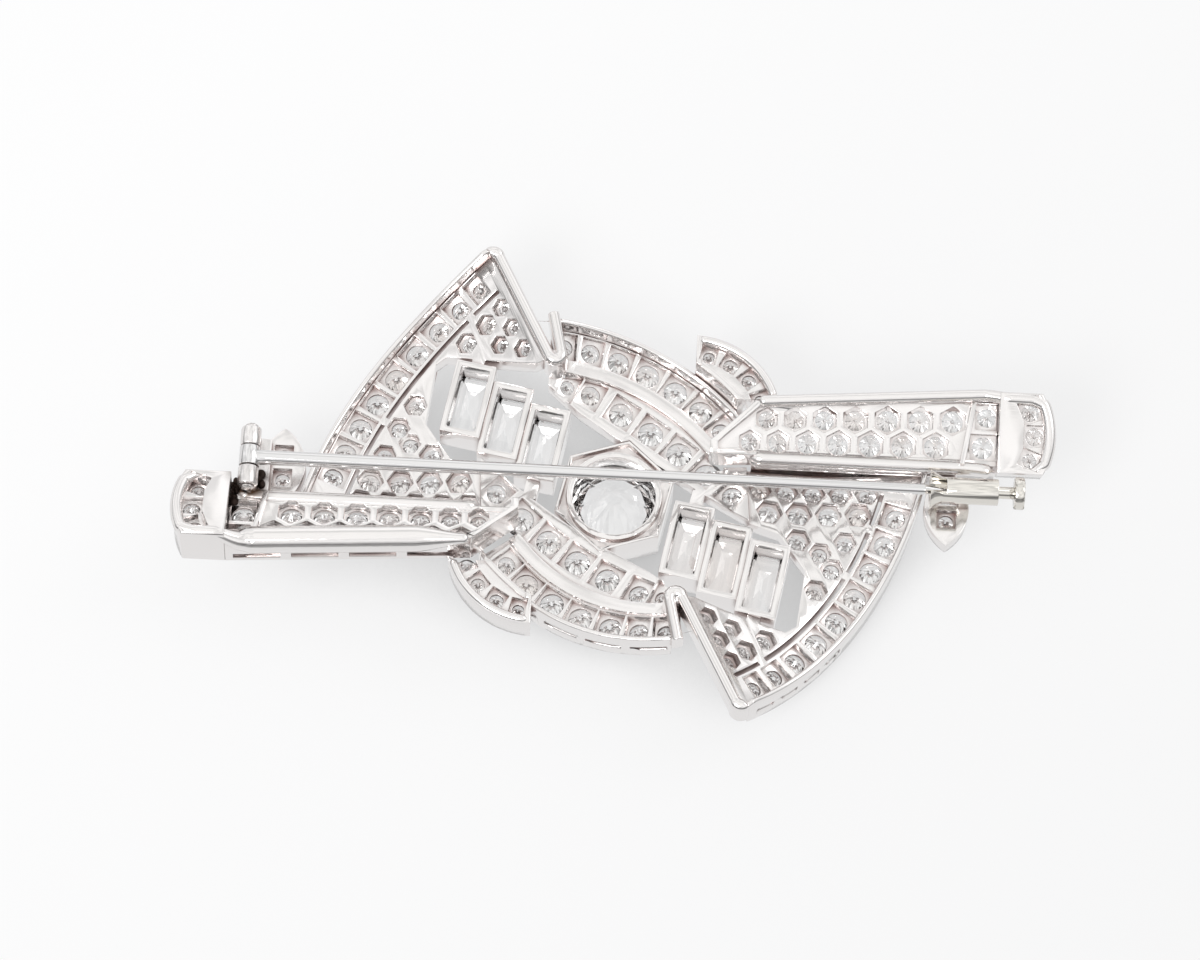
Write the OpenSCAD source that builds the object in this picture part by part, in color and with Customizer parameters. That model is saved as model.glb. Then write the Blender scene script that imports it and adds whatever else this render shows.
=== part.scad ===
// Ribbon-bow brooch in platinum and diamonds, lying face down with its pin up.
// X runs along the pin from hinge to catch, Z points out of the brooch's back.
// The design has two equal halves: the second is the first turned half a turn.

/* [Centre diamond and collet] */
// Diameter of the large centre diamond
centre_stone_d = 6.6; // [6.3:0.1:6.8]
// Distance across the corners of the hexagonal collet
collet_hex_d = 9.2; // [9:0.1:9.4]
// Height of the collet's back rim above the table
collet_back_z = 4.3; // [4:0.1:4.6]
// Height at which the collet's front face starts, above the claw tips
collet_front_z = 0.9; // [0.7:0.1:1]
// Diameter of each of the six claws
claw_d = 0.9; // [0.7:0.1:1]
// Width of the ledge that carries the centre diamond
centre_ledge = 0.2; // [0.15:0.05:0.25]
// Width of the shadow slots between the round seat and the hexagon
collet_slot_w = 0.25; // [0.2:0.05:0.3]

/* [Small diamonds] */
// Diameter of the largest diamonds in the wing borders
border_stone_d = 1.9; // [1.7:0.05:1.95]
// Diameter of the largest diamonds in the wing fields
field_stone_d = 1.7; // [1.5:0.05:1.75]
// Diameter of the largest diamonds in the outer ribbons
outer_stone_d = 2; // [1.8:0.05:2]
// Diameter of the largest diamonds in the inner ribbons
inner_stone_d = 2.1; // [1.9:0.05:2.15]
// Diameter of the largest diamonds in the arms
arm_stone_d = 1.8; // [1.7:0.02:1.84]
// Diameter of the diamonds in the end curls
curl_stone_d = 1.5; // [1.4:0.02:1.54]
// Diameter of the largest diamonds in the small loops and the leaves
loop_stone_d = 1.3; // [1.15:0.05:1.35]
// Width of the ledge under a small diamond's girdle
stone_ledge = 0.12; // [0.1:0.01:0.14]
// Width by which an azure window is larger than its diamond
azure_grow = 0.12; // [0.04:0.02:0.16]
// Gap round a diamond's girdle
girdle_fit = 0.02; // [0.01:0.01:0.04]

/* [Baguette diamonds] */
// Outside width of a baguette collet
baguette_w = 3.05; // [2.9:0.05:3.1]
// Outside length of a baguette collet
baguette_l = 5.9; // [5.7:0.1:6]
// Wall of a baguette collet
baguette_wall = 0.45; // [0.4:0.05:0.55]
// Height of a baguette collet from front to back
baguette_h = 2.75; // [2.7:0.05:2.9]
// Depth of a baguette diamond from table to keel
baguette_depth = 1.6; // [1.3:0.1:1.8]
// Width of the ledge that carries a baguette diamond
baguette_ledge = 0.18; // [0.12:0.02:0.24]
// Height of the back rim of the innermost baguette collet
baguette_back_z = 5.2; // [5:0.1:5.4]
// Rise from one baguette collet to the next, outwards
baguette_rise = 0.3; // [0.1:0.1:0.4]
// Angle of the baguettes off the short axis of the brooch
baguette_turn = 10; // [8:1:12]
// Step of each baguette collet along its length, past the one before it
baguette_step = 0.98; // [0.8:0.02:1.1]
// Depth of the ledge that carries a baguette diamond, below the collet's back rim
baguette_set = 2; // [1.8:0.1:2.1]

/* [Plates and walls] */
// Thickness of the pierced gallery plates
plate_t = 1.4; // [1.3:0.05:1.5]
// Depth of the front counterbore that takes a diamond's girdle
seat_depth = 0.4; // [0.35:0.05:0.45]
// Depth of the azure windows cut in from the back
azure_depth = 0.6; // [0.4:0.05:0.7]
// Thickness of the edge walls
wall_t = 0.4; // [0.35:0.05:0.45]
// Height of the edge walls above the plates' backs
rim_up = 1.2; // [1:0.1:1.4]
// Reach of the edge walls below the plates' backs
wall_down = 1.7; // [1.6:0.1:2]
// Width of the gallery slots along the walls
slot_h = 0.4; // [0.3:0.05:0.5]

/* [Wings] */
// Radius of the wing's outer edge
wing_r = 32.8; // [32.6:0.1:33]
// Radius to which the wing is bent, like a loop of ribbon
wing_bend_r = 22; // [21:0.5:24]
// Height of the lowest line of the wing's back
wing_back_z = 3.8; // [3.6:0.1:4]
// Width of the slit between the wing's border and its field
slit_w = 0.3; // [0.2:0.05:0.4]
// Width of the rounded fold edge
fold_w = 0.75; // [0.6:0.05:0.85]
// Height of the fold edge's crest
fold_top_z = 8.6; // [8.4:0.1:8.8]

/* [Ribbons] */
// Radius of the outer ribbon's outer edge
ribbon_r = 17; // [16.8:0.1:17.2]
// Width of the outer ribbon's channel, between its wall and the plain band
ribbon_channel_w = 2.25; // [2.2:0.05:2.3]
// Width of the plain band
band_w = 0.95; // [0.9:0.05:1]
// Radius to which the ribbons are bent
ribbon_bend_r = 30; // [28:1:34]
// Height of the lowest line of the ribbons' backs
ribbon_back_z = 4.3; // [4.1:0.1:4.5]

/* [Arms and end curls] */
// Length of an arm along its inner edge
arm_l = 20; // [19.9:0.05:20.1]
// Width of an arm's panel at its narrow end
arm_w = 3.9; // [3.85:0.05:4.05]
// Extra width of the panel at its wide end
arm_flare = 1.5; // [1.4:0.05:1.6]
// Tilt of the arm across its width
arm_tilt = 17; // [15:1:18]
// Lift of the end curl's plate above the arm's panel
curl_lift = 1.4; // [1.3:0.1:1.5]
// Radius of the end curl's outer edge
curl_r = 6.3; // [6.2:0.1:6.4]
// Width of the end curl's plain band
curl_band_w = 1.5; // [1.3:0.1:1.7]

/* [Small loops and leaves] */
// Radius of a small loop's outer edge
loop_r = 6.7; // [6.5:0.1:6.8]
// Height of a small loop's back
loop_back_z = 7.3; // [7.1:0.1:7.5]
// Radius of each side of a leaf
leaf_r = 3.6; // [3.4:0.1:3.8]
// Width of a leaf
leaf_w = 3.3; // [3.1:0.1:3.5]
// Height of a leaf's back
leaf_back_z = 6; // [5.8:0.1:6.2]

/* [Pin] */
// Height of the pin's axis above the table
pin_z = 8.3; // [8.2:0.1:8.6]
// Distance from the leaf's middle out to the hinge axis
hinge_out = 2.3; // [2.2:0.1:2.4]
// Diameter of the stem at the hinge
stem_d = 1.1; // [1:0.05:1.15]
// Diameter of the stem where its point begins
stem_tip_d = 0.84; // [0.8:0.02:0.9]
// Length of the straight end of the stem, behind its point
stem_straight_l = 10; // [8:0.5:12]
// Length of the stem's point
point_l = 1.6; // [1.4:0.1:1.8]
// How far the stem's tip reaches into the catch
tip_reach = 1.1; // [1.05:0.05:1.15]
// Diameter of the hinge knuckles
knuckle_d = 1.5; // [1.4:0.05:1.6]
// Length of each hinge knuckle along the hinge axis
knuckle_l = 1.5; // [1.4:0.1:1.6]
// Gap between the stem's knuckle and each fixed knuckle
knuckle_gap = 0.06; // [0.04:0.02:0.1]
// Diameter of the hinge rivet
rivet_d = 0.6; // [0.5:0.05:0.7]
// Running clearance on radius, for the rivet and for the catch's slide
running_fit = 0.03; // [0.02:0.01:0.05]

/* [Safety catch] */
// Distance from the leaf's middle in to the catch's mouth
catch_in = 1.4; // [1.3:0.1:1.5]
// Outside diameter of the barrel
barrel_d = 1.95; // [1.9:0.05:2.05]
// Length of the barrel, its funnel and its end ring included
barrel_l = 5; // [4.9:0.1:5.2]
// Diameter of the funnel's mouth
funnel_d = 2.9; // [2.7:0.1:3]
// Gap on each side between the stem and the catch's slot
slot_gap = 0.16; // [0.14:0.01:0.18]
// Length of the funnel
funnel_l = 0.9; // [0.8:0.05:1]
// Length of the end ring that keeps the slide in
end_ring_l = 0.4; // [0.3:0.05:0.5]
// Diameter of the slide's sleeve
sleeve_d = 1.4; // [1.35:0.05:1.5]
// Bore of the sleeve, which closes over the pin's point
sleeve_bore = 1; // [0.95:0.05:1.05]
// Diameter of the slide's neck
neck_d = 0.9; // [0.8:0.05:1]
// Travel of the slide
catch_travel = 1.1; // [1:0.05:1.2]
// Diameter of the pull knob
knob_d = 2.4; // [2.2:0.1:2.4]
// Thickness of the pull knob
knob_t = 0.75; // [0.6:0.05:0.8]

/* [Hidden] */
$fn = 64;
eps = 0.01;
cut = 1;
deep = 20;

// Metal and stone colours
platinum = "gainsboro";
gold = "wheat";
diamond = "aliceblue";

// Frames of the bent plates: [x, y, height of the lowest line, angle, bend radius]
wing_frame = [-18.5, 6.5, wing_back_z, 26, wing_bend_r];
ribbon_frame = [4.5, 5.3, ribbon_back_z, -38, ribbon_bend_r];

// Centres of the arcs that draw the outlines
// Each is placed by the middle of its rim, and the centre of the rim's arc follows
wing_mid = [-17.768, 10.213];
wing_mid_angle = 145;
wing_c = wing_mid - wing_r * dir(wing_mid_angle);
ribbon_mid = [4.5, 10.322];
ribbon_mid_angle = 60;
ribbon_c = ribbon_mid - ribbon_r * dir(ribbon_mid_angle);
loop_c = [5.4, 5.1];

// Fold edge: bottom of the V, apex of the wing and tip of the short leg
fold_bottom = [-4.85, 9.45];
fold_turn_r = fold_w / 2 + 0.08;
fold_corner_r = fold_w / 2 + 0.1;
apex_angle = wing_angle(10.59);
fold_corner = wing_c + (wing_r - fold_corner_r - fold_w / 2) * dir(apex_angle);
fold_span = norm(fold_corner - fold_bottom);
fold_dir = arc_angle(fold_bottom, fold_corner) - asin((fold_corner_r + fold_turn_r) / fold_span);
fold_l = sqrt(pow(fold_span, 2) - pow(fold_corner_r + fold_turn_r, 2));
fold_start = fold_bottom + fold_turn_r * dir(fold_dir + 90);
fold_apex = fold_corner + fold_corner_r * dir(fold_dir - 90);
fold_short_dir = 103;
fold_short_l = 3.2;
fold_lap = 0.1;
fold_swell = 0.06;
fold_foot_z = 6.3;

// Meeting lines: wing against arm, wing against inner ribbon, and the ribbons' start
arm_y = 2.55;
wing_end_x = 9.7;
ribbon_start_x = -5.3;
inner_edge = [[-5.6, 8.3], [-2.9, 6.25], [0.9, 4], [4.2, 1.9], [10.1, -2.1]];

// Setting geometry, shared by every small round diamond
crown_ratio = 0.16;
pavilion_ratio = 0.43;
girdle_ratio = 0.03;
table_ratio = 0.56;
bar_w = 0.12;

// Rows of small diamonds: each share is a diamond's size next to the largest of its row
row_gap = 0.45;
border_shares = [0.72, 0.8, 0.92, 1, 1, 1, 1, 0.95, 0.88];
border_start = wing_angle(8.47);
border_row_r = wing_r - wall_t - bar_w - window_w(border_stone_d) / 2;
wing_slits = [[9.6, 7.1], [6.4, -3.8], [-4.5, -8.3], [-9, -11.7]];
slit_r = border_row_r - window_w(border_stone_d) / 2 - 2 * bar_w - slit_w;
outer_shares = [0.72, 0.82, 0.93, 1, 1, 1, 0.75];
outer_start = ribbon_angle(8.99);
band_r = ribbon_r - wall_t - ribbon_channel_w;
outer_row_r = band_r + ribbon_channel_w / 2;
inner_shares = [0.8, 0.97, 1, 1, 0.95, 0.8];
inner_first = [-2.05, 7.8];
inner_last = [8.6, 0.45];
inner_row_r = 40;
inner_row_c = arc_centre(inner_last, inner_first, inner_row_r);
small_inner = [-3.76, 8.15];
small_inner_share = 0.62;
band_up = 0.35;
loop_shares = [0.85, 1, 1, 0.85];
loop_start = 78;
loop_gap = 0.55;
loop_row_r = loop_r - wall_t - bar_w - window_w(loop_stone_d) / 2;
arm_shares = [0.8, 0.85, 0.9, 0.95, 1, 1, 1];
arm_first = 1.8;
arm_stagger = 1.2;
arm_x = 8;
arm_z = 7;
arm_bar_x = arm_l - 2.7;
arm_bar_turn = -9;
arm_bar_w = 0.35;
curl_c = [arm_l - 2.3, 2.2];
curl_row_r = curl_r - wall_t - bar_w - window_w(curl_stone_d) / 2;
curl_floor_y = -0.6;
curl_rim = 0.6;
curl_band_x = arm_l + 0.3;
loop_x = 5.6;
loop_y = 6.87;
loop_rim = 0.5;
arm_rim = 1.3;
arm_plate_t = 1;
arm_inner_top = 7.2;
arm_inner_foot = 3.2;
leaf_out = 2.06;
leaf_y = -0.4;
wing_edge_x = sqrt(pow(wing_r, 2) - pow(leaf_y + wing_c[1], 2)) - wing_c[0];
leaf_x = wing_edge_x + leaf_out;
hinge_x = leaf_x + hinge_out;
catch_x = leaf_x - catch_in;
stem_l = hinge_x + catch_x + tip_reach;

// Diamonds of the wing field: rows of equal ones, then single ones, each [x, y, diameter]
field_stones = concat(
    field_line([-18.1, 0.45], [-11.55, 0.6], 4, 0.97),
    field_line([-18.7, -1.2], [-10.8, -1.2], 5, 0.85),
    field_line([-16.3, 4.85], [-15.15, 6.65], 2, 0.85),
    field_line([-17.2, 2.65], [-15.4, 3.6], 2, 0.82),
    field_line([-13.75, 2.7], [-13.75, 2.7], 1, 0.9),
    field_line([-11.6, 11.3], [-10.2, 12.5], 2, 0.82),
    field_line([-9.15, 13.6], [-8.3, 12.0], 2, 0.68),
    field_line([-9.1, 10.85], [-7.35, 10.3], 2, 0.7)
);

// Centre setting
centre_table_z = 0.25;
centre_crown = crown_ratio * centre_stone_d;
centre_girdle = girdle_ratio * centre_stone_d;
centre_pavilion = pavilion_ratio * centre_stone_d;
centre_girdle_z = centre_table_z + centre_crown + centre_girdle;
centre_ledge_z = centre_girdle_z + pavilion_drop(centre_stone_d, centre_ledge);
collet_turn = 18;
claw_n = 6;

// Baguettes: size of the stone and of the window behind it
baguette_n = 3;
baguette_mid = [-8.35, 5.15];
bag_window_w = baguette_w - 2 * baguette_wall;
bag_window_l = baguette_l - 2 * baguette_wall;
bag_stone_w = bag_window_w + 2 * baguette_ledge;
bag_stone_l = bag_window_l + 2 * baguette_ledge;
bag_crown = 0.3 * baguette_depth;
bag_girdle = 0.1 * baguette_depth;
bag_pavilion = 0.6 * baguette_depth;
bag_drop = bag_pavilion * baguette_ledge / (bag_stone_w / 2);
bag_table_inset = 0.4;
tab_w = 1;
tab_l = 1.4;

// Pin and catch
knuckle_out = knuckle_l * 1.5 + knuckle_gap;
slot_w = stem_tip_d + 2 * slot_gap;
barrel_bore = sleeve_d + 2 * running_fit;
rivet_bore = rivet_d + 2 * running_fit;
neck_bore = neck_d + 2 * running_fit;
barrel_end = catch_x + barrel_l;
tip_x = stem_l - hinge_x;
sleeve_x = tip_x + 0.08;
ring_x = barrel_end - end_ring_l;
stop_gap = 0.05;
sleeve_l = ring_x - stop_gap - sleeve_x;
knob_x = barrel_end + catch_travel + stop_gap;
base_t = 0.6;
base_l = 2.8;

function dir(a) = [cos(a), sin(a)];

// Angles of points at a distance along the rims from their middles
function wing_angle(s) = wing_mid_angle - s / wing_r * 180 / PI;
function ribbon_angle(s) = ribbon_mid_angle + s / ribbon_r * 180 / PI;

function pavilion_drop(d, ledge) = pavilion_ratio * 2 * ledge;

// Width of the azure window behind a diamond
function window_w(d) = d + azure_grow;

// Distance along a row from its first diamond to diamond i
function row_run(shares, i, d, gap) =
    i == 0 ? 0 : row_run(shares, i - 1, d, gap) + (shares[i - 1] + shares[i]) / 2 * d + gap;

// Diamonds on a row, each [x, y, diameter]: along an arc, or along a straight line
function arc_row(c, r, start, turn, shares, d, gap) = [for (i = [0 : len(shares) - 1])
    concat(c + r * dir(start + turn * row_run(shares, i, d, gap) / r * 180 / PI), shares[i] * d)];
function even_row(c, r, start, step, shares, d) = [for (i = [0 : len(shares) - 1])
    concat(c + r * dir(start + i * step), shares[i] * d)];
function field_line(a, b, n, share) = [for (i = [0 : n - 1])
    concat(a + (b - a) * (n > 1 ? i / (n - 1) : 0), share * field_stone_d)];

// Position across and along a bent frame
function bend_u(f, p) = (p[0] - f[0]) * cos(f[3]) + (p[1] - f[1]) * sin(f[3]);
function bend_v(f, p) = (p[1] - f[1]) * cos(f[3]) - (p[0] - f[0]) * sin(f[3]);

// Centre of the arc of radius r from a to b, on its left
function arc_centre(a, b, r) =
    let (d = b - a, l = norm(d), n = [-d[1], d[0]] / l)
    (a + b) / 2 + n * sqrt(r * r - l * l / 4);
function arc_angle(c, p) = atan2(p[1] - c[1], p[0] - c[0]);

border_row = arc_row(wing_c, border_row_r, border_start, 1, border_shares, border_stone_d, row_gap);
outer_row = arc_row(ribbon_c, outer_row_r, outer_start, -1, outer_shares, outer_stone_d, row_gap - 0.07);
inner_start = arc_angle(inner_row_c, inner_first);
inner_step = (arc_angle(inner_row_c, inner_last) - inner_start) / (len(inner_shares) - 1);
inner_row = concat([concat(small_inner, small_inner_share * inner_stone_d)],
    even_row(inner_row_c, inner_row_r, inner_start, inner_step, inner_shares, inner_stone_d));
loop_row = arc_row(loop_c, loop_row_r, loop_start, -1, loop_shares, loop_stone_d, loop_gap);
curl_row = even_row(curl_c, curl_row_r, 22, -21, [1, 1, 0.85], curl_stone_d);
leaf_row = [[leaf_x, leaf_y - 0.95, loop_stone_d], [leaf_x, leaf_y + 0.95, loop_stone_d]];
arm_row_l = arm_bar_x - arm_first - arm_stagger - arm_stone_d / 3;
arm_gap = (arm_row_l - row_run(arm_shares, len(arm_shares) - 1, arm_stone_d, 0)) / (len(arm_shares) - 1);
arm_row_in = [for (i = [0 : len(arm_shares) - 1])
    let (x = arm_first + row_run(arm_shares, i, arm_stone_d, arm_gap))
    [x, 1.02 + 0.02 * x, arm_shares[i] * arm_stone_d]];
arm_row_out = [for (p = arm_row_in) [p[0] + arm_stagger, 2.7 + 0.035 * (p[0] + arm_stagger), p[2]]];
arm_cells = [[arm_l - 1, 1.45, arm_stone_d], [arm_l - 0.8, 3.7, arm_stone_d * 0.88]];

// Outer edge of the arm's panel, in the arm's own frame
function arm_edge(x) = arm_w + arm_flare * x / arm_l;

// ---- Frames ----

// Children of the first half, or of the second, turned half a turn
module half(k) rotate([0, 0, 180 * k]) children();

// Solid between two offsets from a bent surface: up towards the back, down towards the front
module bent_shell(f, up, down) {
    translate([f[0], f[1], f[2] + f[4]])
        rotate([90, 0, f[3]])
            difference() {
                cylinder(h = 80, r = f[4] + down, center = true, $fn = 180);
                cylinder(h = 81, r = f[4] - up, center = true, $fn = 180);
            }
}

// An outline cut out of a bent sheet
module bent_plate(f, up, down) {
    intersection() {
        bent_shell(f, up, down);
        linear_extrude(height = deep * 0.6) children();
    }
}

// Places children on a bent plate's back, square to its surface
module on_bent(f, p) {
    translate([f[0], f[1], f[2] + f[4]])
        rotate([0, 0, f[3]])
            translate([0, bend_v(f, p), 0])
                rotate([0, -asin(bend_u(f, p) / f[4]), 0])
                    translate([0, 0, -f[4]]) children();
}

// The arm's own frame: X along the arm, Z square to its tilted panel
module arm_frame() {
    translate([arm_x, arm_y, arm_z]) rotate([arm_tilt, 0, 0]) children();
}

// ---- Stones and settings ----

// A round brilliant with its culet up; its girdle's upper edge is at the origin
module brilliant(d) {
    rotate_extrude()
        polygon([
            [0, -(girdle_ratio + crown_ratio) * d],
            [table_ratio * d / 2, -(girdle_ratio + crown_ratio) * d],
            [d / 2, -girdle_ratio * d],
            [d / 2, 0],
            [0, pavilion_ratio * d]
        ]);
}

// A round brilliant seated in a plate whose back is the plane z = 0
module seated(d) {
    translate([0, 0, seat_depth - plate_t - pavilion_drop(d, stone_ledge)]) brilliant(d);
}

// Cut for one diamond: counterbore from the front, bore, and azure window at the back.
// A window has six sides, or is a rectangle that is across wide when across is set.
module seat_cut(d, across) {
    translate([0, 0, -plate_t - cut])
        cylinder(h = cut + seat_depth, d = d + 2 * girdle_fit);
    translate([0, 0, -plate_t - cut])
        cylinder(h = plate_t + cut, d = d - 2 * stone_ledge);
    translate([0, 0, -azure_depth])
        if (across > 0)
            translate([-window_w(d) / 2, -across / 2, 0]) cube([window_w(d), across, azure_depth + cut]);
        else
            rotate([0, 0, 30]) cylinder(h = azure_depth + cut, r = window_w(d) / 2 / cos(30), $fn = 6);
}

// Direction along the row at each diamond, for arcs about c and for straight rows
function along(c, p) = arc_angle(c, p) - 90;

module bent_seats(f, row, across, c) {
    for (p = row) on_bent(f, p) rotate([0, 0, across > 0 ? along(c, p) - f[3] : 0]) seat_cut(p[2], across);
}

module bent_stones(f, row) {
    for (p = row) on_bent(f, p) seated(p[2]);
}

module flat_seats(row, across, turn) {
    for (p = row) translate([p[0], p[1], 0]) rotate([0, 0, turn]) seat_cut(p[2], across);
}

module arc_seats(row, across, c) {
    for (p = row) translate([p[0], p[1], 0]) rotate([0, 0, along(c, p)]) seat_cut(p[2], across);
}

module flat_stones(row) {
    for (p = row) translate([p[0], p[1], 0]) seated(p[2]);
}

// ---- Outlines ----

module disc(c, r) {
    translate(c) circle(r = r, $fn = 240);
}

module ring(c, r_out, w) {
    difference() {
        disc(c, r_out);
        disc(c, r_out - w);
    }
}

// A wedge from c between two angles less than half a turn apart
module wedge(c, a, b, r = 400) {
    polygon([c, c + r * dir(a), c + r * 1.2 * dir((a + b) / 2), c + r * dir(b)]);
}

// Hexagon of the centre collet
module collet_2d() {
    rotate(collet_turn) circle(d = collet_hex_d, $fn = 6);
}

// Frame of baguette i of the first half; i runs from the outside inwards
module baguette_frame(i) {
    translate(baguette_mid)
        rotate(-baguette_turn)
            translate([(i - 1) * baguette_w, -(i - 1) * baguette_step]) children();
}

// Tab that joins a baguette collet's end to the plate beside it
module baguette_tab(i, side) {
    baguette_frame(i)
        translate([-tab_w / 2, side > 0 ? baguette_l / 2 : -baguette_l / 2 - tab_l])
            square([tab_w, tab_l]);
}

// Region of a wing inside its fold edge, with the opening for the baguettes left out
module wing_region() {
    polygon([
        fold_corner + 3 * dir(apex_angle), fold_corner, fold_apex, fold_start,
        [-6.2, 9], [-9.7, 9.75], [-13, 10.4], [-13.8, 9.8],
        [-14.3, 5.2], [-12.3, 2.4], [-wing_end_x - 0.3, 1.8], [-wing_end_x, -arm_y],
        [-30, -arm_y], [-30, 20]
    ]);
}

module wing_2d() {
    difference() {
        union() {
            intersection() {
                disc(wing_c, wing_r - wall_t);
                wing_region();
            }
            baguette_tab(0, 1);
        }
        fold_2d();
        wing_slits_2d();
    }
}

module wing_wall_2d() {
    difference() {
        intersection() {
            ring(wing_c, wing_r, wall_t);
            wing_region();
        }
        fold_2d();
    }
}

// Slits between a wing's border and its field, with bars left between them
module wing_slits_2d() {
    intersection() {
        ring(wing_c, slit_r + slit_w, slit_w);
        union() {
            for (s = wing_slits) wedge(wing_c, wing_angle(s[0]), wing_angle(s[1]));
        }
    }
}

// Strip that the fold edge covers
module fold_2d() {
    translate(fold_start)
        rotate(fold_dir) translate([-fold_lap, -fold_w / 2]) square([fold_l + 2 * fold_lap, fold_w]);
    translate(fold_bottom + fold_turn_r * dir(fold_short_dir - 90))
        rotate(fold_short_dir)
            translate([-fold_lap, -fold_w / 2]) square([fold_short_l + 2 * fold_lap, fold_w]);
    intersection() {
        disc(fold_bottom, fold_turn_r + (fold_w + fold_swell) / 2);
        wedge(fold_bottom, fold_dir + 90, fold_short_dir + 270);
    }
}

// Side of the ribbons towards the middle of the brooch
module ribbon_side() {
    polygon(concat(inner_edge, [[14, -2.1], [14, 16], [ribbon_start_x, 16]]));
}

module ribbon_ends() {
    polygon([
        [ribbon_start_x, 0], [ribbon_start_x, 16], [wing_end_x, 16], [wing_end_x, arm_y],
        [wing_end_x + 0.3, -1.8], [wing_end_x + 0.3, -4], [ribbon_start_x, -4]
    ]);
}

module inner_ribbon_2d() {
    difference() {
        union() {
            intersection() {
                union() {
                    disc(ribbon_c, band_r - band_w);
                    translate([0, -deep + arm_y]) square([deep, deep]);
                }
                ribbon_side();
                ribbon_ends();
            }
            half(1) baguette_tab(baguette_n - 1, -1);
        }
        collet_2d();
    }
}

module outer_ribbon_2d(r_out, w) {
    intersection() {
        ring(ribbon_c, r_out, w);
        wedge(ribbon_c, ribbon_angle(-7.12), ribbon_angle(10.98));
        ribbon_ends();
    }
}

module loop_2d() {
    difference() {
        intersection() {
            disc(loop_c, loop_r);
            polygon([[loop_x, 6], [loop_x, 16], [16, 16], [16, loop_y], [9, loop_y]]);
        }
        disc(ribbon_c, ribbon_r);
    }
}

// Arm panel in the arm's own frame, its outer and slanting edges drawn in by an inset
module arm_2d(inset = 0) {
    polygon([
        [-1.1 + 1.4 * inset, 0], [-1.1 + 1.4 * inset, 0.9], [2.2 + 0.7 * inset, arm_edge(2.2) - inset],
        [arm_l, arm_edge(arm_l) - inset], [arm_l, 0]
    ]);
}

// End curl in the arm's own frame
module curl_2d(inset = 0) {
    intersection() {
        disc(curl_c, curl_r - inset);
        polygon([
            [arm_l + inset, curl_floor_y + inset], [deep * 2, curl_floor_y + inset],
            [deep * 2, arm_edge(arm_l) - inset], [arm_l + inset, arm_edge(arm_l) - inset]
        ]);
    }
}

module leaf_2d(inset = 0) {
    difference() {
        intersection() {
            disc([leaf_x + leaf_r - leaf_w / 2, leaf_y], leaf_r - inset);
            disc([leaf_x - leaf_r + leaf_w / 2, leaf_y], leaf_r - inset);
            translate([0, arm_y - deep]) square([deep * 2, deep]);
        }
        half(1) disc(wing_c, wing_r + inset);
    }
}

// ---- Centre ----

module centre_collet() color(platinum) {
    difference() {
        union() {
            translate([0, 0, collet_front_z])
                linear_extrude(height = collet_back_z - collet_front_z) collet_2d();
            for (i = [0 : claw_n - 1])
                rotate([0, 0, collet_turn + i * 360 / claw_n])
                    translate([centre_stone_d / 2 + claw_d / 4, 0, 0])
                        cylinder(h = centre_ledge_z, d = claw_d);
        }
        translate([0, 0, centre_girdle_z]) brilliant(centre_stone_d);
        translate([0, 0, centre_girdle_z - centre_girdle - eps])
            cylinder(h = centre_ledge_z - centre_girdle_z + centre_girdle + eps, d = centre_stone_d);
        translate([0, 0, collet_front_z - cut])
            cylinder(h = centre_ledge_z - collet_front_z + cut, d = centre_stone_d);
        translate([0, 0, collet_front_z])
            cylinder(h = collet_back_z, d = centre_stone_d - 2 * centre_ledge);
        for (i = [0 : claw_n - 1]) rotate([0, 0, collet_turn + 30 + i * 360 / claw_n]) collet_slot();
    }
}

// One shadow slot between the round seat and a flat of the hexagon
module collet_slot() {
    slot_x = collet_hex_d / 2 * cos(30) - collet_slot_w - 0.2;
    translate([slot_x, -collet_hex_d / 7, collet_back_z - azure_depth])
        cube([collet_slot_w, collet_hex_d * 2 / 7, azure_depth + cut]);
}

module centre_stone() color(diamond) translate([0, 0, centre_girdle_z]) brilliant(centre_stone_d);

// ---- Wings ----

module wing(k) color(platinum) half(k) {
    difference() {
        bent_plate(wing_frame, 0, plate_t) wing_2d();
        bent_seats(wing_frame, border_row, window_w(border_stone_d), wing_c);
        bent_seats(wing_frame, field_stones, 0, wing_c);
    }
}

module wing_wall(k) color(platinum) half(k) {
    difference() {
        bent_plate(wing_frame, rim_up, wall_down) wing_wall_2d();
        translate([-deep * 2, 0, fold_top_z]) cube([deep * 2, deep * 2, deep]);
        bent_plate(wing_frame, -slot_h / 2, slot_h * 1.5)
            for (s = [9.7 : -2.3 : 2.8]) wedge(wing_c, wing_angle(s), wing_angle(s - 1.6));
    }
}

module border_stones(k) color(diamond) half(k)
    bent_stones(wing_frame, border_row);

module field_stones(k) color(diamond) half(k)
    bent_stones(wing_frame, field_stones);

// Section of the fold edge: a strip w wide with a round crest
module fold_section(r, w, foot_z) {
    translate([r - w / 2, foot_z]) square([w, fold_top_z - fold_w / 2 - foot_z]);
    translate([r, fold_top_z - fold_w / 2]) circle(d = w);
}

// A straight stretch of the fold edge, starting just before p
module fold_straight(p, a, l, foot_z) {
    translate([p[0], p[1], 0])
        rotate([90, 0, a + 90])
            translate([0, 0, -fold_lap])
                linear_extrude(height = l + 2 * fold_lap) fold_section(0, fold_w, foot_z);
}

// A bend of the fold edge about c, from angle a to angle b; it is a hair wider than the straights
module fold_bend(c, r, a, b, foot_z) {
    translate(c)
        rotate([0, 0, a])
            rotate_extrude(angle = b - a) fold_section(r, fold_w + fold_swell, foot_z - fold_swell);
}

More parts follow.
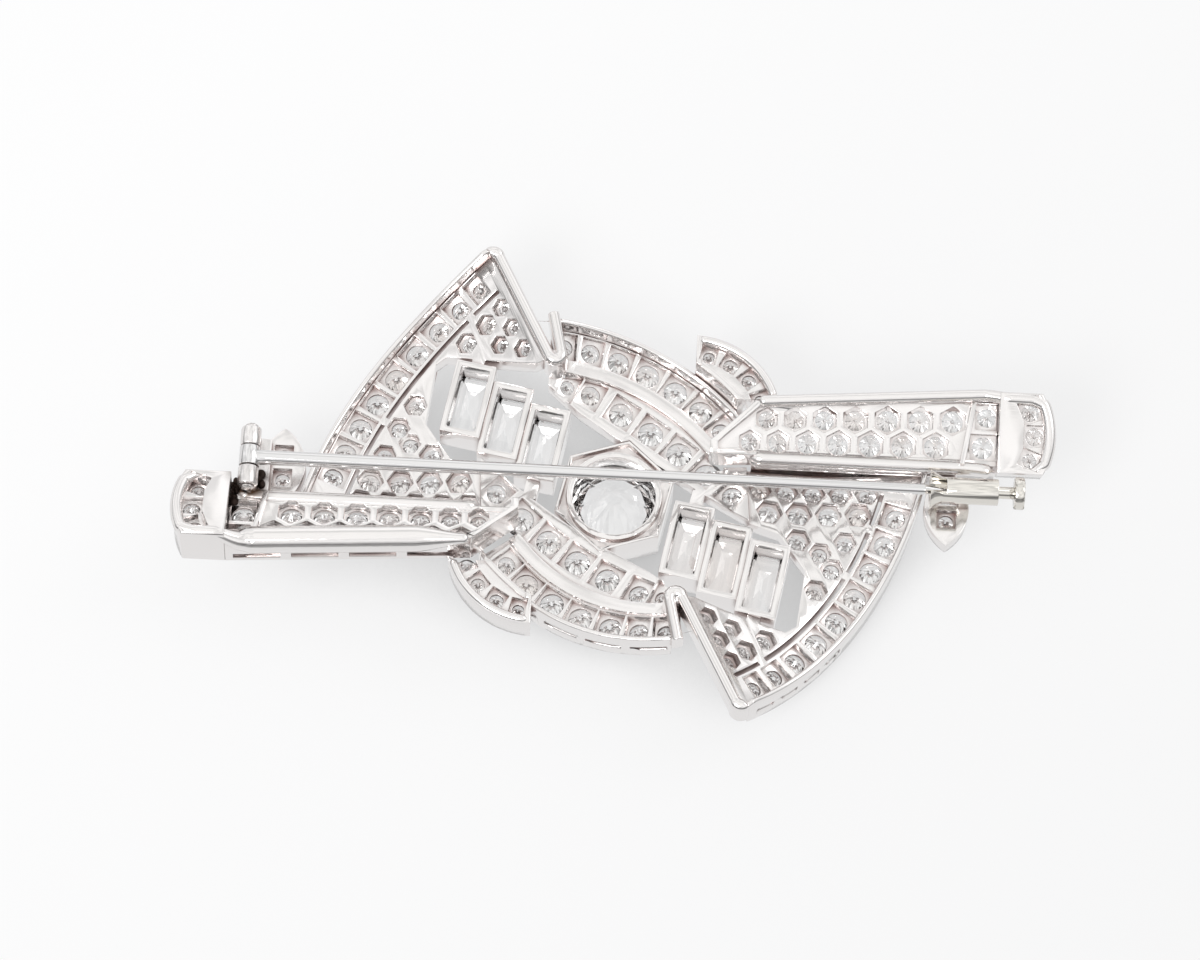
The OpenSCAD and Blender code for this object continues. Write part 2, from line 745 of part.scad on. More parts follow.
module fold(k) color(platinum) half(k) {
    fold_straight(fold_start, fold_dir, fold_l, fold_foot_z);
    fold_bend(fold_corner, fold_corner_r, fold_dir - 90, apex_angle, fold_foot_z);
    difference() {
        union() {
            fold_bend(fold_bottom, fold_turn_r, fold_dir + 90, fold_short_dir + 270, ribbon_back_z);
            fold_straight(fold_bottom + fold_turn_r * dir(fold_short_dir - 90),
                fold_short_dir, fold_short_l, ribbon_back_z);
        }
        bent_shell(ribbon_frame, 0, deep);
    }
}

// ---- Ribbons ----

module outer_ribbon(k) color(platinum) half(k) {
    difference() {
        union() {
            bent_plate(ribbon_frame, 0, plate_t)
                outer_ribbon_2d(ribbon_r - wall_t, ribbon_channel_w);
            bent_plate(ribbon_frame, band_up, plate_t)
                difference() {
                    outer_ribbon_2d(band_r, band_w);
                    fold_2d();
                }
        }
        bent_seats(ribbon_frame, outer_row, ribbon_channel_w - 2 * bar_w, ribbon_c);
    }
}

module ribbon_wall(k) color(platinum) half(k) {
    difference() {
        bent_plate(ribbon_frame, rim_up, wall_down)
            difference() {
                outer_ribbon_2d(ribbon_r, wall_t);
                fold_2d();
            }
        bent_plate(ribbon_frame, -slot_h / 2, slot_h * 1.5)
            for (s = [-3.6 : 3.4 : 6.7]) wedge(ribbon_c, ribbon_angle(s), ribbon_angle(s + 2.7));
    }
}

module inner_ribbon(k) color(platinum) half(k) {
    difference() {
        bent_plate(ribbon_frame, 0, plate_t) inner_ribbon_2d();
        bent_seats(ribbon_frame, inner_row, window_w(inner_stone_d), inner_row_c);
    }
}

module outer_stones(k) color(diamond) half(k)
    bent_stones(ribbon_frame, outer_row);

module inner_stones(k) color(diamond) half(k)
    bent_stones(ribbon_frame, inner_row);

// ---- Small loops ----

module small_loop(k) color(platinum) half(k) {
    difference() {
        union() {
            translate([0, 0, loop_back_z - plate_t]) linear_extrude(height = plate_t) loop_2d();
            translate([0, 0, loop_back_z - wall_down - 0.5])
                linear_extrude(height = wall_down + 0.5 + loop_rim)
                    intersection() {
                        loop_2d();
                        ring(loop_c, loop_r, wall_t);
                    }
            translate([0, 0, ribbon_back_z])
                linear_extrude(height = loop_back_z - ribbon_back_z + loop_rim / 2)
                    intersection() {
                        loop_2d();
                        ring(ribbon_c, ribbon_r + wall_t, wall_t);
                    }
            translate([0, 0, ribbon_back_z + 1])
                linear_extrude(height = loop_back_z - ribbon_back_z - 1 + loop_rim)
                    intersection() {
                        loop_2d();
                        translate([loop_x, 0]) square([wall_t, deep]);
                    }
        }
        translate([0, 0, loop_back_z]) arc_seats(loop_row, window_w(loop_stone_d), loop_c);
    }
}

module loop_stones(k) color(diamond) half(k)
    translate([0, 0, loop_back_z]) flat_stones(loop_row);

// ---- Arms ----

module arm(k) color(platinum) half(k) {
    difference() {
        union() {
            arm_frame() {
                translate([0, 0, -arm_plate_t]) linear_extrude(height = arm_plate_t) arm_2d();
                translate([0, 0, -arm_plate_t])
                    linear_extrude(height = arm_plate_t + arm_rim)
                        difference() {
                            arm_2d();
                            arm_2d(wall_t);
                        }
                translate([arm_bar_x, 0.1, 0])
                    rotate([0, 0, arm_bar_turn]) cube([arm_bar_w, arm_w + 0.9, arm_rim / 2]);
            }
            translate([arm_x - 1, arm_y, arm_inner_foot])
                cube([arm_l + 1, wall_t, arm_inner_top - arm_inner_foot]);
        }
        arm_frame() {
            flat_seats(arm_row_in, 0, 0);
            flat_seats(arm_row_out, 0, 0);
            flat_seats(arm_cells, window_w(arm_stone_d), 0);
            for (x = [3.4 : 4.2 : arm_l - 3])
                translate([x, arm_edge(x) - 1, 0.3 - arm_plate_t]) cube([3.4, 3, slot_h]);
        }
        intersection() {
            bent_shell(ribbon_frame, band_up + eps, deep);
            translate([0, -deep, 0]) cube([wing_end_x + 0.3, deep * 2, deep]);
        }
    }
}

module arm_stones(k) color(diamond) half(k) arm_frame() {
    flat_stones(arm_row_in);
    flat_stones(arm_row_out);
    flat_stones(arm_cells);
}

// ---- End curls ----

module curl(k) color(platinum) half(k) arm_frame() {
    difference() {
        union() {
            translate([0, 0, curl_lift - plate_t]) linear_extrude(height = plate_t) curl_2d();
            translate([0, 0, -arm_plate_t])
                linear_extrude(height = arm_plate_t + curl_lift + curl_rim)
                    difference() {
                        curl_2d();
                        curl_2d(wall_t);
                    }
            translate([0, 0, curl_lift])
                linear_extrude(height = curl_rim)
                    intersection() {
                        curl_2d();
                        translate([curl_band_x, curl_floor_y]) square([curl_band_w, deep]);
                    }
        }
        translate([0, 0, curl_lift]) arc_seats(curl_row, window_w(curl_stone_d), curl_c);
    }
}

module curl_stones(k) color(diamond) half(k) arm_frame() translate([0, 0, curl_lift]) {
    flat_stones(curl_row);
}

// ---- Leaves under the hinge and the catch ----

module leaf(k) color(platinum) half(k) {
    difference() {
        translate([0, 0, leaf_back_z - plate_t]) linear_extrude(height = plate_t) leaf_2d();
        translate([0, 0, leaf_back_z]) flat_seats(leaf_row, window_w(loop_stone_d), 0);
    }
}

module leaf_stones(k) color(diamond) half(k)
    translate([0, 0, leaf_back_z]) flat_stones(leaf_row);

// ---- Baguettes ----

function baguette_back(i) = baguette_back_z + (baguette_n - 1 - i) * baguette_rise;

module baguette_collet(k, i) color(platinum) half(k) {
    translate([0, 0, baguette_back(i)])
        baguette_frame(i)
            difference() {
                translate([0, 0, -baguette_h / 2]) cube([baguette_w, baguette_l, baguette_h], center = true);
                translate([0, 0, -baguette_h / 2])
                    cube([bag_window_w, bag_window_l, baguette_h + 1], center = true);
                translate([0, 0, -baguette_h])
                    cube([bag_stone_w, bag_stone_l, 2 * (baguette_h - baguette_set)], center = true);
            }
}

// A step-cut diamond with its keel up; its girdle's upper edge is the plane z = 0
module baguette_stone() {
    inset = bag_stone_w / 2;
    intersection() {
        rotate([90, 0, 0])
            linear_extrude(height = bag_stone_l, center = true) baguette_profile(bag_stone_w, inset);
        rotate([90, 0, 90])
            linear_extrude(height = bag_stone_w, center = true) baguette_profile(bag_stone_l, inset);
    }
}

module baguette_profile(w, inset) {
    polygon([
        [-w / 2, 0], [-w / 2, -bag_girdle], [-w / 2 + bag_table_inset, -bag_girdle - bag_crown],
        [w / 2 - bag_table_inset, -bag_girdle - bag_crown], [w / 2, -bag_girdle], [w / 2, 0],
        [w / 2 - inset + eps, bag_pavilion], [-w / 2 + inset - eps, bag_pavilion]
    ]);
}

module baguettes(k) color(diamond) half(k) {
    for (i = [0 : baguette_n - 1])
        translate([0, 0, baguette_back(i) - baguette_set - bag_drop])
            baguette_frame(i) baguette_stone();
}

// ---- Hinge and pin ----

module along_y(h) rotate([90, 0, 0]) translate([0, 0, -h / 2]) children();
module along_x() rotate([0, 90, 0]) children();

module hinge_bracket() color(platinum) {
    difference() {
        union() {
            translate([-hinge_x - 0.7, -arm_y, leaf_back_z])
                cube([base_l - 0.7, arm_y + knuckle_out, base_t]);
            for (s = [-1, 1])
                translate([-hinge_x, s * (knuckle_out - knuckle_l / 2), pin_z]) {
                    along_y(knuckle_l) cylinder(h = knuckle_l, d = knuckle_d);
                    translate([-0.6, -knuckle_l / 2, leaf_back_z - pin_z])
                        cube([1.2, knuckle_l, pin_z - leaf_back_z]);
                }
        }
        translate([-hinge_x, 0, pin_z]) along_y(10) cylinder(h = 10, d = rivet_d);
    }
}

module hinge_rivet() color(platinum) translate([-hinge_x, 0, pin_z]) {
    along_y(2 * knuckle_out) cylinder(h = 2 * knuckle_out, d = rivet_d);
    for (s = [-1, 1])
        translate([0, s * (knuckle_out + 0.1), 0]) along_y(0.2) cylinder(h = 0.2, d = rivet_d + 0.4);
}

module pin_stem() color(platinum) translate([-hinge_x, 0, pin_z]) {
    difference() {
        union() {
            along_y(knuckle_l) cylinder(h = knuckle_l, d = knuckle_d);
            along_x() cylinder(h = stem_l - point_l - stem_straight_l, d1 = stem_d, d2 = stem_tip_d);
            translate([stem_l - point_l - stem_straight_l, 0, 0])
                along_x() cylinder(h = stem_straight_l, d = stem_tip_d);
            translate([stem_l - point_l, 0, 0])
                along_x() cylinder(h = point_l, d1 = stem_tip_d, d2 = 0.12);
        }
        along_y(10) cylinder(h = 10, d = rivet_bore);
        translate([-2, -5, -5]) cube([2 - knuckle_d / 2, 10, 10]);
    }
}

// ---- Safety catch ----

module catch_barrel() color(gold) {
    difference() {
        union() {
            translate([catch_x, 0, pin_z]) along_x() cylinder(h = barrel_l, d = barrel_d);
            translate([catch_x, 0, pin_z]) along_x() cylinder(h = funnel_l, d1 = funnel_d, d2 = barrel_d);
            translate([leaf_x + 0.8, -0.45, leaf_back_z]) cube([0.8, 0.9, pin_z - leaf_back_z]);
        }
        translate([catch_x - cut, 0, pin_z]) along_x() cylinder(h = ring_x - catch_x + cut, d = barrel_bore);
        translate([catch_x - cut, 0, pin_z]) along_x() cylinder(h = barrel_l + 2 * cut, d = neck_bore);
        translate([catch_x - cut, -slot_w / 2, pin_z])
            cube([sleeve_x - catch_x + cut, slot_w, funnel_d]);
    }
}

module catch_slide() color(gold) {
    difference() {
        union() {
            translate([sleeve_x, 0, pin_z]) along_x() cylinder(h = sleeve_l, d = sleeve_d);
            translate([sleeve_x, 0, pin_z]) along_x() cylinder(h = knob_x - sleeve_x, d = neck_d);
        }
        translate([sleeve_x - cut, 0, pin_z])
            along_x() cylinder(h = cut + catch_travel + 0.3, d = sleeve_bore);
    }
}

module catch_knob() color(platinum) translate([knob_x, 0, pin_z]) along_x() cylinder(h = knob_t, d = knob_d);

// ---- Parts ----

centre_collet();
centre_stone();
wing(0);  // left_wing
wing(1);  // right_wing
wing_wall(0);  // left_wing_wall
wing_wall(1);  // right_wing_wall
fold(0);  // left_fold
fold(1);  // right_fold
border_stones(0);  // left_border_stones
border_stones(1);  // right_border_stones
field_stones(0);  // left_field_stones
field_stones(1);  // right_field_stones
outer_ribbon(0);  // upper_outer_ribbon
outer_ribbon(1);  // lower_outer_ribbon
outer_stones(0);  // upper_outer_stones
outer_stones(1);  // lower_outer_stones
ribbon_wall(0);  // upper_ribbon_wall
ribbon_wall(1);  // lower_ribbon_wall
inner_ribbon(0);  // upper_inner_ribbon
inner_ribbon(1);  // lower_inner_ribbon
inner_stones(0);  // upper_inner_stones
inner_stones(1);  // lower_inner_stones
small_loop(0);  // upper_loop
small_loop(1);  // lower_loop
loop_stones(0);  // upper_loop_stones
loop_stones(1);  // lower_loop_stones
arm(0);  // right_arm
arm(1);  // left_arm
arm_stones(0);  // right_arm_stones
arm_stones(1);  // left_arm_stones
curl(0);  // right_curl
curl(1);  // left_curl
curl_stones(0);  // right_curl_stones
curl_stones(1);  // left_curl_stones
leaf(0);  // right_leaf
leaf(1);  // left_leaf
leaf_stones(0);  // right_leaf_stones
leaf_stones(1);  // left_leaf_stones
baguette_collet(0, 0);  // left_baguette_collet_1
baguette_collet(0, 1);  // left_baguette_collet_2
baguette_collet(0, 2);  // left_baguette_collet_3
baguette_collet(1, 0);  // right_baguette_collet_1
baguette_collet(1, 1);  // right_baguette_collet_2
baguette_collet(1, 2);  // right_baguette_collet_3
baguettes(0);  // left_baguettes
baguettes(1);  // right_baguettes
hinge_bracket();
hinge_rivet();
pin_stem();
catch_barrel();
catch_slide();
catch_knob();
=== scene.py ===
"""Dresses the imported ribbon-bow brooch for rendering.

The brooch lies face down: its pierced platinum galleries, the backs of its diamonds, the wire
pin and the sliding safety catch all face up, on a pale floor under soft studio light.
"""
from __future__ import annotations

import logging
import math
from dataclasses import dataclass, field
from enum import Enum
from functools import cache

import bmesh
import bpy
import numpy as np
from mathutils import Matrix, Vector


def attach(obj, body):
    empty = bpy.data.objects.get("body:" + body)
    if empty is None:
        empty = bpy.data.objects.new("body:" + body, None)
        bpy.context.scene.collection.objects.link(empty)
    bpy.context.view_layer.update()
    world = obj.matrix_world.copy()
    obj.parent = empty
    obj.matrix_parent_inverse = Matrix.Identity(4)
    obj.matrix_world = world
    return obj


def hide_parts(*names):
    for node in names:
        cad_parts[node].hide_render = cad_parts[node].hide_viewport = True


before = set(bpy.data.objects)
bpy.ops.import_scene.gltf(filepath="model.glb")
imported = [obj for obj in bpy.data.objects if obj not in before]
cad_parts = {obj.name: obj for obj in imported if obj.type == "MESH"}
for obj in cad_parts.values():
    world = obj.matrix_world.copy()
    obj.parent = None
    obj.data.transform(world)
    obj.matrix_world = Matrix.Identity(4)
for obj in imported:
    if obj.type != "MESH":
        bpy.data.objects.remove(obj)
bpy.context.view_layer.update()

MM = 0.001
SIDES = ("left", "right")
HALVES = ("upper", "lower")

Triple = tuple[float, float, float]
Pair = tuple[float, float]
Run = tuple[float, float, int]
Socket = bpy.types.NodeSocket
Sockets = bpy.types.bpy_prop_collection
log = logging.getLogger("brooch")


class Body(Enum):
    """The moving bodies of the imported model."""

    BROOCH = "brooch"
    PIN = "pin"
    SLIDER = "catch_slider"


class Slot(Enum):
    """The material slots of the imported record."""

    PLATINUM = "platinum"
    WIRE = "pin_wire"
    CATCH = "catch_metal"
    DIAMOND = "diamond"


# ---- Node trees ----


def setup(thing: object, **settings: object) -> None:
    """Sets several properties at once."""
    for name, value in settings.items():
        setattr(thing, name, value)


class Tree:
    """A short way to place and join nodes in one node tree."""

    def __init__(self, tree: bpy.types.NodeTree) -> None:
        """Wraps a node tree."""
        self.tree = tree

    def add(self, kind: str, inputs: dict | None = None, **settings: object) -> bpy.types.Node:
        """Places a node.

        Args:
            kind: The node's Blender type.
            inputs: Values or output sockets by the input's name or number.
            settings: Properties of the node itself.

        Returns:
            The new node.
        """
        node = self.tree.nodes.new(kind)
        setup(node, **settings)
        for key, value in (inputs or {}).items():
            if isinstance(value, Socket):
                self.tree.links.new(value, node.inputs[key])
            else:
                node.inputs[key].default_value = value
        return node

    def out(self, kind: str, inputs: dict, **settings: object) -> Socket:
        """Places a node and gives its first output."""
        return self.add(kind, inputs, **settings).outputs[0]

    def math(self, what: str, a: object, b: object = 0.0) -> Socket:
        """Gives the output of a math node on two values or sockets."""
        return self.out("ShaderNodeMath", {0: a, 1: b}, operation=what)

    def times(self, *values: object) -> Socket:
        """Multiplies values or sockets.

        Args:
            values: At least two of them.

        Returns:
            The product.
        """
        product = values[0]
        for value in values[1:]:
            product = self.math("MULTIPLY", product, value)
        return product

    def mix(self, share: object, a: object, b: object, clamp: bool = True) -> Socket:
        """Mixes two colours.

        Args:
            share: How much of the second colour shows.
            a: First colour.
            b: Second colour.
            clamp: Whether the share is held between 0 and 1.

        Returns:
            The mixed colour.
        """
        inputs = {0: share}
        for key, value in ((6, a), (7, b)):
            wired = isinstance(value, Socket)
            inputs[key] = value if wired else (*value[:3], 1.0)
        return self.add("ShaderNodeMix", inputs, data_type="RGBA", clamp_factor=clamp).outputs[2]

    def remap(
        self,
        value: object,
        low: object = 0.0,
        high: object = 1.0,
        first: object = 0.0,
        last: object = 1.0,
        smooth: bool = False,
    ) -> Socket:
        """Turns one range of values into another.

        Args:
            value: The value to turn.
            low: Where the range starts.
            high: Where it ends.
            first: What its start becomes.
            last: What its end becomes.
            smooth: Whether it eases in and out.

        Returns:
            The new value.
        """
        ends = {"Value": value, "From Min": low, "From Max": high, "To Min": first, "To Max": last}
        kind = "SMOOTHSTEP" if smooth else "LINEAR"
        return self.out("ShaderNodeMapRange", ends, interpolation_type=kind)

    def noise(self, place: object, scale: object, detail: float) -> Socket:
        """Gives the value of a noise texture."""
        inputs = {"Vector": place, "Scale": scale, "Detail": detail}
        return self.add("ShaderNodeTexNoise", inputs).outputs["Fac"]

    def place(self) -> Socket:
        """Gives the place on the piece, in Object coordinates."""
        return self.add("ShaderNodeTexCoord").outputs["Object"]

    def read(self, name: str, kind: str = "FLOAT") -> Socket:
        """Reads a named attribute of the points."""
        return self.out("GeometryNodeInputNamedAttribute", {"Name": name}, data_type=kind)


def node_group(
    name: str, kind: str, takes: tuple[tuple, ...], gives: tuple[tuple, ...]
) -> tuple[Tree, Sockets]:
    """Starts a node group with named inputs and outputs.

    Args:
        name: The group's name.
        kind: Its Blender type.
        takes: Name, type and, where it has one, default of each input.
        gives: Name and type of each output.

    Returns:
        A builder for the group, and the inputs as sockets inside it.
    """
    build = Tree(bpy.data.node_groups.new(name, kind))
    for way, sockets in (("INPUT", takes), ("OUTPUT", gives)):
        for label, sort, *value in sockets:
            made = build.tree.interface.new_socket(
                name=label, in_out=way, socket_type="NodeSocket" + sort
            )
            if value:
                made.default_value = value[0]
    return build, build.add("NodeGroupInput").outputs


def cleared(owner: bpy.types.Material | bpy.types.World) -> Tree:
    """Gives a material or a world an empty node tree.

    Args:
        owner: The material or the world.

    Returns:
        A builder for the tree.
    """
    owner.use_nodes = True
    owner.node_tree.nodes.clear()
    return Tree(owner.node_tree)


# How hidden a corner is where dirt starts, and where it lies full.
DIRT_DEPTHS = (0.12, 0.64)
# The part of the noise that makes patches, and the least dirt left between them.
DIRT_PATCHES = (0.35, 0.65)
LEAST_DIRT = 0.35
# Soot and painted shadow round one spot: how far past full it is in the middle, how fine its
# crumbs are, and where they start.
SOOT_AND_SHADOW_CORE = 1.7
CRUMB_SCALE = 1.4 / MM
CRUMBS = (0.34, 0.52)


@cache
def settled_dirt() -> bpy.types.NodeTree:
    """Makes the group that darkens and tints metal where dirt settles, in corners and bores, and
    round one spot with soot and painted shadow.

    Returns:
        The group, with outputs Color and Mask.
    """
    build, given = node_group(
        "settled_dirt",
        "ShaderNodeTree",
        (
            ("Metal", "Color", (0.9, 0.9, 0.9, 1.0)),
            ("Dirt", "Color", (0.3, 0.2, 0.18, 1.0)),
            ("Reach", "Float", 0.4 * MM),
            ("Strength", "Float", 0.8),
            ("Patch Size", "Float", 3.0 * MM),
            ("Soot", "Color", (0.13, 0.075, 0.045, 1.0)),
            ("Spot", "Vector", (0.0, 0.0, 0.0)),
            ("Spot Size", "Float", 2.0 * MM),
            ("Spot Strength", "Float", 0.0),
        ),
        (("Color", "Color"), ("Mask", "Float")),
    )
    occlusion = build.add(
        "ShaderNodeAmbientOcclusion", {"Distance": given["Reach"]}, samples=8, only_local=False
    )
    hidden = build.math("SUBTRACT", 1.0, occlusion.outputs["AO"])
    place = build.place()
    patches = build.noise(place, build.math("DIVIDE", 1.0, given["Patch Size"]), 3.0)
    patchy = build.remap(patches, *DIRT_PATCHES, LEAST_DIRT, 1.0)
    deep = build.remap(hidden, *DIRT_DEPTHS, smooth=True)
    mask = build.times(deep, patchy, given["Strength"])
    # Soot and painted shadow darken the metal round the given spot, broken up into crumbs.
    away = build.add("ShaderNodeVectorMath", {0: place, 1: given["Spot"]}, operation="DISTANCE")
    near = build.remap(
        away.outputs["Value"], 0.0, given["Spot Size"], SOOT_AND_SHADOW_CORE, 0.0, smooth=True
    )
    crumbly = build.remap(build.noise(place, CRUMB_SCALE, 4.0), *CRUMBS)
    soot_and_shadow = build.times(build.math("MINIMUM", near, 1.0), crumbly, given["Spot Strength"])
    dirty = build.mix(mask, given["Metal"], given["Dirt"])
    color = build.mix(soot_and_shadow, dirty, given["Soot"])
    build.add("NodeGroupOutput", {"Color": color, "Mask": build.math("MAXIMUM", mask, soot_and_shadow)})
    return build.tree


# Which way the hairlines run, in radians, and how long they are for their width.
HAIRLINE_TURN = 0.5
HAIRLINE_STRETCH = 0.06


@cache
def hand_polish() -> bpy.types.NodeTree:
    """Makes the group for a hand-polished surface: soft ripples, hairlines and uneven gloss.

    Returns:
        The group, with outputs Height and Roughness.
    """
    build, given = node_group(
        "hand_polish",
        "ShaderNodeTree",
        (
            ("Ripple Size", "Float", 1.6 * MM),
            ("Hairline Size", "Float", 0.05 * MM),
            ("Hairlines", "Float", 0.1),
            ("Gloss", "Float", 0.1),
            ("Gloss Spread", "Float", 0.08),
        ),
        (("Height", "Float"), ("Roughness", "Float")),
    )
    place = build.place()
    ripple = build.noise(place, build.math("DIVIDE", 1.0, given["Ripple Size"]), 1.5)
    turned = {"Rotation": (0.0, 0.0, HAIRLINE_TURN), "Scale": (HAIRLINE_STRETCH, 1.0, 1.0)}
    drawn = build.out("ShaderNodeMapping", {"Vector": place, **turned})
    lines = build.noise(drawn, build.math("DIVIDE", 1.0, given["Hairline Size"]), 2.0)
    scratches = build.times(lines, given["Hairlines"])
    uneven = build.times(ripple, given["Gloss Spread"])
    rubbed = build.times(scratches, given["Gloss Spread"])
    rough = build.math("ADD", given["Gloss"], build.math("ADD", uneven, rubbed))
    height = build.math("ADD", ripple, scratches)
    build.add("NodeGroupOutput", {"Height": height, "Roughness": rough})
    return build.tree


# ---- Finishes ----


@dataclass(frozen=True)
class MetalFinish:
    """A polished white metal with dirt in its corners, and soot and painted shadow round one spot.
    """

    name: str
    slot: Slot = Slot.PLATINUM
    tint: Triple = (0.925, 0.9, 0.89)
    dirt: Triple = (0.29, 0.175, 0.155)
    dirt_reach: float = 0.65 * MM
    dirt_strength: float = 0.95
    dirt_dulls: float = 0.35
    gloss: float = 0.1
    gloss_spread: float = 0.12
    ripple: float = 1.5 * MM
    ripple_depth: float = 0.02 * MM
    hairlines: float = 0.12
    # Strength, middle and reach of the spot of soot and painted shadow by the hinge.
    soot_and_shadow: float = 1.0
    soot_and_shadow_at: Triple = (-26.9 * MM, -1.3 * MM, 7.2 * MM)
    soot_and_shadow_reach: float = 2.7 * MM

    @cache
    def material(self) -> bpy.types.Material:
        """Makes the material, once.

        Returns:
            The finished material.
        """
        material = bpy.data.materials.new(self.name)
        build = cleared(material)
        dirt = build.add(
            "ShaderNodeGroup",
            {
                "Metal": (*self.tint, 1.0),
                "Dirt": (*self.dirt, 1.0),
                "Reach": self.dirt_reach,
                "Strength": self.dirt_strength,
                "Spot": self.soot_and_shadow_at,
                "Spot Size": self.soot_and_shadow_reach,
                "Spot Strength": self.soot_and_shadow,
            },
            node_tree=settled_dirt(),
        ).outputs
        polish = build.add(
            "ShaderNodeGroup",
            {
                "Gloss": self.gloss,
                "Gloss Spread": self.gloss_spread,
                "Ripple Size": self.ripple,
                "Hairlines": self.hairlines,
            },
            node_tree=hand_polish(),
        ).outputs
        dull = build.times(dirt["Mask"], self.dirt_dulls)
        waves = {"Height": polish["Height"], "Distance": self.ripple_depth, "Strength": 1.0}
        shader = build.out(
            "ShaderNodeBsdfPrincipled",
            {
                "Base Color": dirt["Color"],
                "Metallic": 1.0,
                "Roughness": build.math("ADD", polish["Roughness"], dull),
                "Normal": build.out("ShaderNodeBump", waves),
            },
        )
        build.add("ShaderNodeOutputMaterial", {"Surface": shader})
        return material


@dataclass(frozen=True)
class DiamondFinish:
    """A clear cut diamond, a few stones of a row a little warmer than the others."""

    name: str
    slot: Slot = Slot.DIAMOND
    clear: Triple = (0.985, 0.985, 0.985)
    warm: Triple = (0.98, 0.93, 0.9)
    warm_patches: Pair = (0.55, 0.75)
    patch: float = 2.2 * MM
    bending: float = 2.2

    @cache
    def material(self) -> bpy.types.Material:
        """Makes the material, once.

        Returns:
            The finished material.
        """
        material = bpy.data.materials.new(self.name)
        build = cleared(material)
        patches = build.noise(build.place(), 1.0 / self.patch, 0.0)
        warmer = build.remap(patches, *self.warm_patches)
        shader = build.out(
            "ShaderNodeBsdfPrincipled",
            {
                "Base Color": build.mix(warmer, self.clear, self.warm),
                "Roughness": 0.0,
                "IOR": self.bending,
                "Transmission Weight": 1.0,
            },
        )
        build.add("ShaderNodeOutputMaterial", {"Surface": shader})
        return material


@dataclass(frozen=True)
class PlainFinish:
    """A clean, even metal: a slot's own material, as it comes with the frame."""

    slot: Slot

    def material(self) -> bpy.types.Material:
        """Finds the material."""
        return bpy.data.materials[self.slot.value]


Finish = MetalFinish | DiamondFinish | PlainFinish

GALLERY = MetalFinish("platinum_gallery")
MOULDING = MetalFinish("platinum_moulding", gloss=0.09, gloss_spread=0.1, dirt_strength=0.25)
WALL = MetalFinish("platinum_wall", gloss=0.07, gloss_spread=0.08, dirt_strength=0.5)
HINGE = MetalFinish(
    "platinum_hinge", dirt=(0.16, 0.11, 0.1), dirt_reach=0.9 * MM, gloss=0.12, soot_and_shadow=0.3
)
# Near-black lumps by the hinge: partly old solder and grime, partly painted shadow.
GRIME_AND_SHADOW = MetalFinish(
    "solder_grime",
    tint=(0.05, 0.035, 0.03),
    dirt=(0.02, 0.012, 0.01),
    dirt_strength=1.0,
    gloss=0.34,
    gloss_spread=0.3,
    ripple=0.3 * MM,
    ripple_depth=0.12 * MM,
    soot_and_shadow=0.0,
)
WIRE = PlainFinish(Slot.WIRE)
CATCH = PlainFinish(Slot.CATCH)
BRILLIANT = DiamondFinish("diamond_brilliant")
SOLITAIRE = DiamondFinish("diamond_solitaire", warm=(0.985, 0.985, 0.985), bending=1.75)
BAGUETTE = DiamondFinish("diamond_baguette", patch=6 * MM, bending=2.0)


# ---- Meshes ----


def linked(name: str, data: bpy.types.ID) -> bpy.types.Object:
    """Makes an object and links it to the scene.

    Args:
        name: The object's name.
        data: Its mesh, lamp or camera.

    Returns:
        The new object.
    """
    made = bpy.data.objects.new(name, data)
    bpy.context.scene.collection.objects.link(made)
    return made


def merged(node: str) -> bmesh.types.BMesh:
    """Copies a CAD node's loose triangles into one closed mesh.

    Args:
        node: The CAD node's name.

    Returns:
        The merged mesh, to be freed by the caller.
    """
    mesh = bmesh.new()
    mesh.from_mesh(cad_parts[node].data)
    bmesh.ops.remove_doubles(mesh, verts=mesh.verts, dist=0.002 * MM)
    return mesh


def plain(name: str, shape: bmesh.types.BMesh, outward: bool = False) -> bpy.types.Mesh:
    """Turns a working mesh into a plain one.

    Args:
        name: The mesh's name.
        shape: The working mesh, which is freed.
        outward: Whether its faces still have to be turned outwards.

    Returns:
        The plain mesh.
    """
    if outward:
        bmesh.ops.recalc_face_normals(shape, faces=shape.faces)
    mesh = bpy.data.meshes.new(name)
    shape.to_mesh(mesh)
    shape.free()
    return mesh


def islands(mesh: bmesh.types.BMesh) -> list[np.ndarray]:
    """Splits a mesh's vertices into its separate solids.

    Args:
        mesh: A merged mesh, which is freed.

    Returns:
        One array of vertex places for each solid.
    """
    left, found = set(mesh.verts), []
    while left:
        queue, part = [left.pop()], []
        while queue:
            vertex = queue.pop()
            part.append(tuple(vertex.co))
            for edge in vertex.link_edges:
                other = edge.other_vert(vertex)
                if other in left:
                    left.remove(other)
                    queue.append(other)
        found.append(np.array(part))
    mesh.free()
    return sorted(found, key=lambda part: tuple(part.mean(0)))


def piece(
    name: str, mesh: bpy.types.Mesh, finish: Finish, body: Body = Body.BROOCH, node: str = ""
) -> None:
    """Adds a finished mesh to the scene as a piece that rides on a body.

    Args:
        name: The piece's name.
        mesh: Its mesh, already in place.
        finish: Its finish.
        body: The body that it rides on.
        node: The CAD node that it replaces, if it replaces one.
    """
    mesh.name = name
    mesh.materials.clear()
    mesh.materials.append(finish.material())
    made = linked(name, mesh)
    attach(made, body.value)
    if node:
        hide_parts(node)
    log.info("%s rides on %s", name, body.value)


def baked(source: bpy.types.Object) -> bpy.types.Mesh:
    """Applies an object's modifiers into a plain mesh and removes the object.

    Args:
        source: The object with live modifiers.

    Returns:
        The plain mesh.
    """
    seen = source.evaluated_get(bpy.context.evaluated_depsgraph_get())
    mesh = bpy.data.meshes.new_from_object(seen)
    old = source.data
    bpy.data.objects.remove(source)
    if old.users == 0:
        bpy.data.meshes.remove(old)
    return mesh


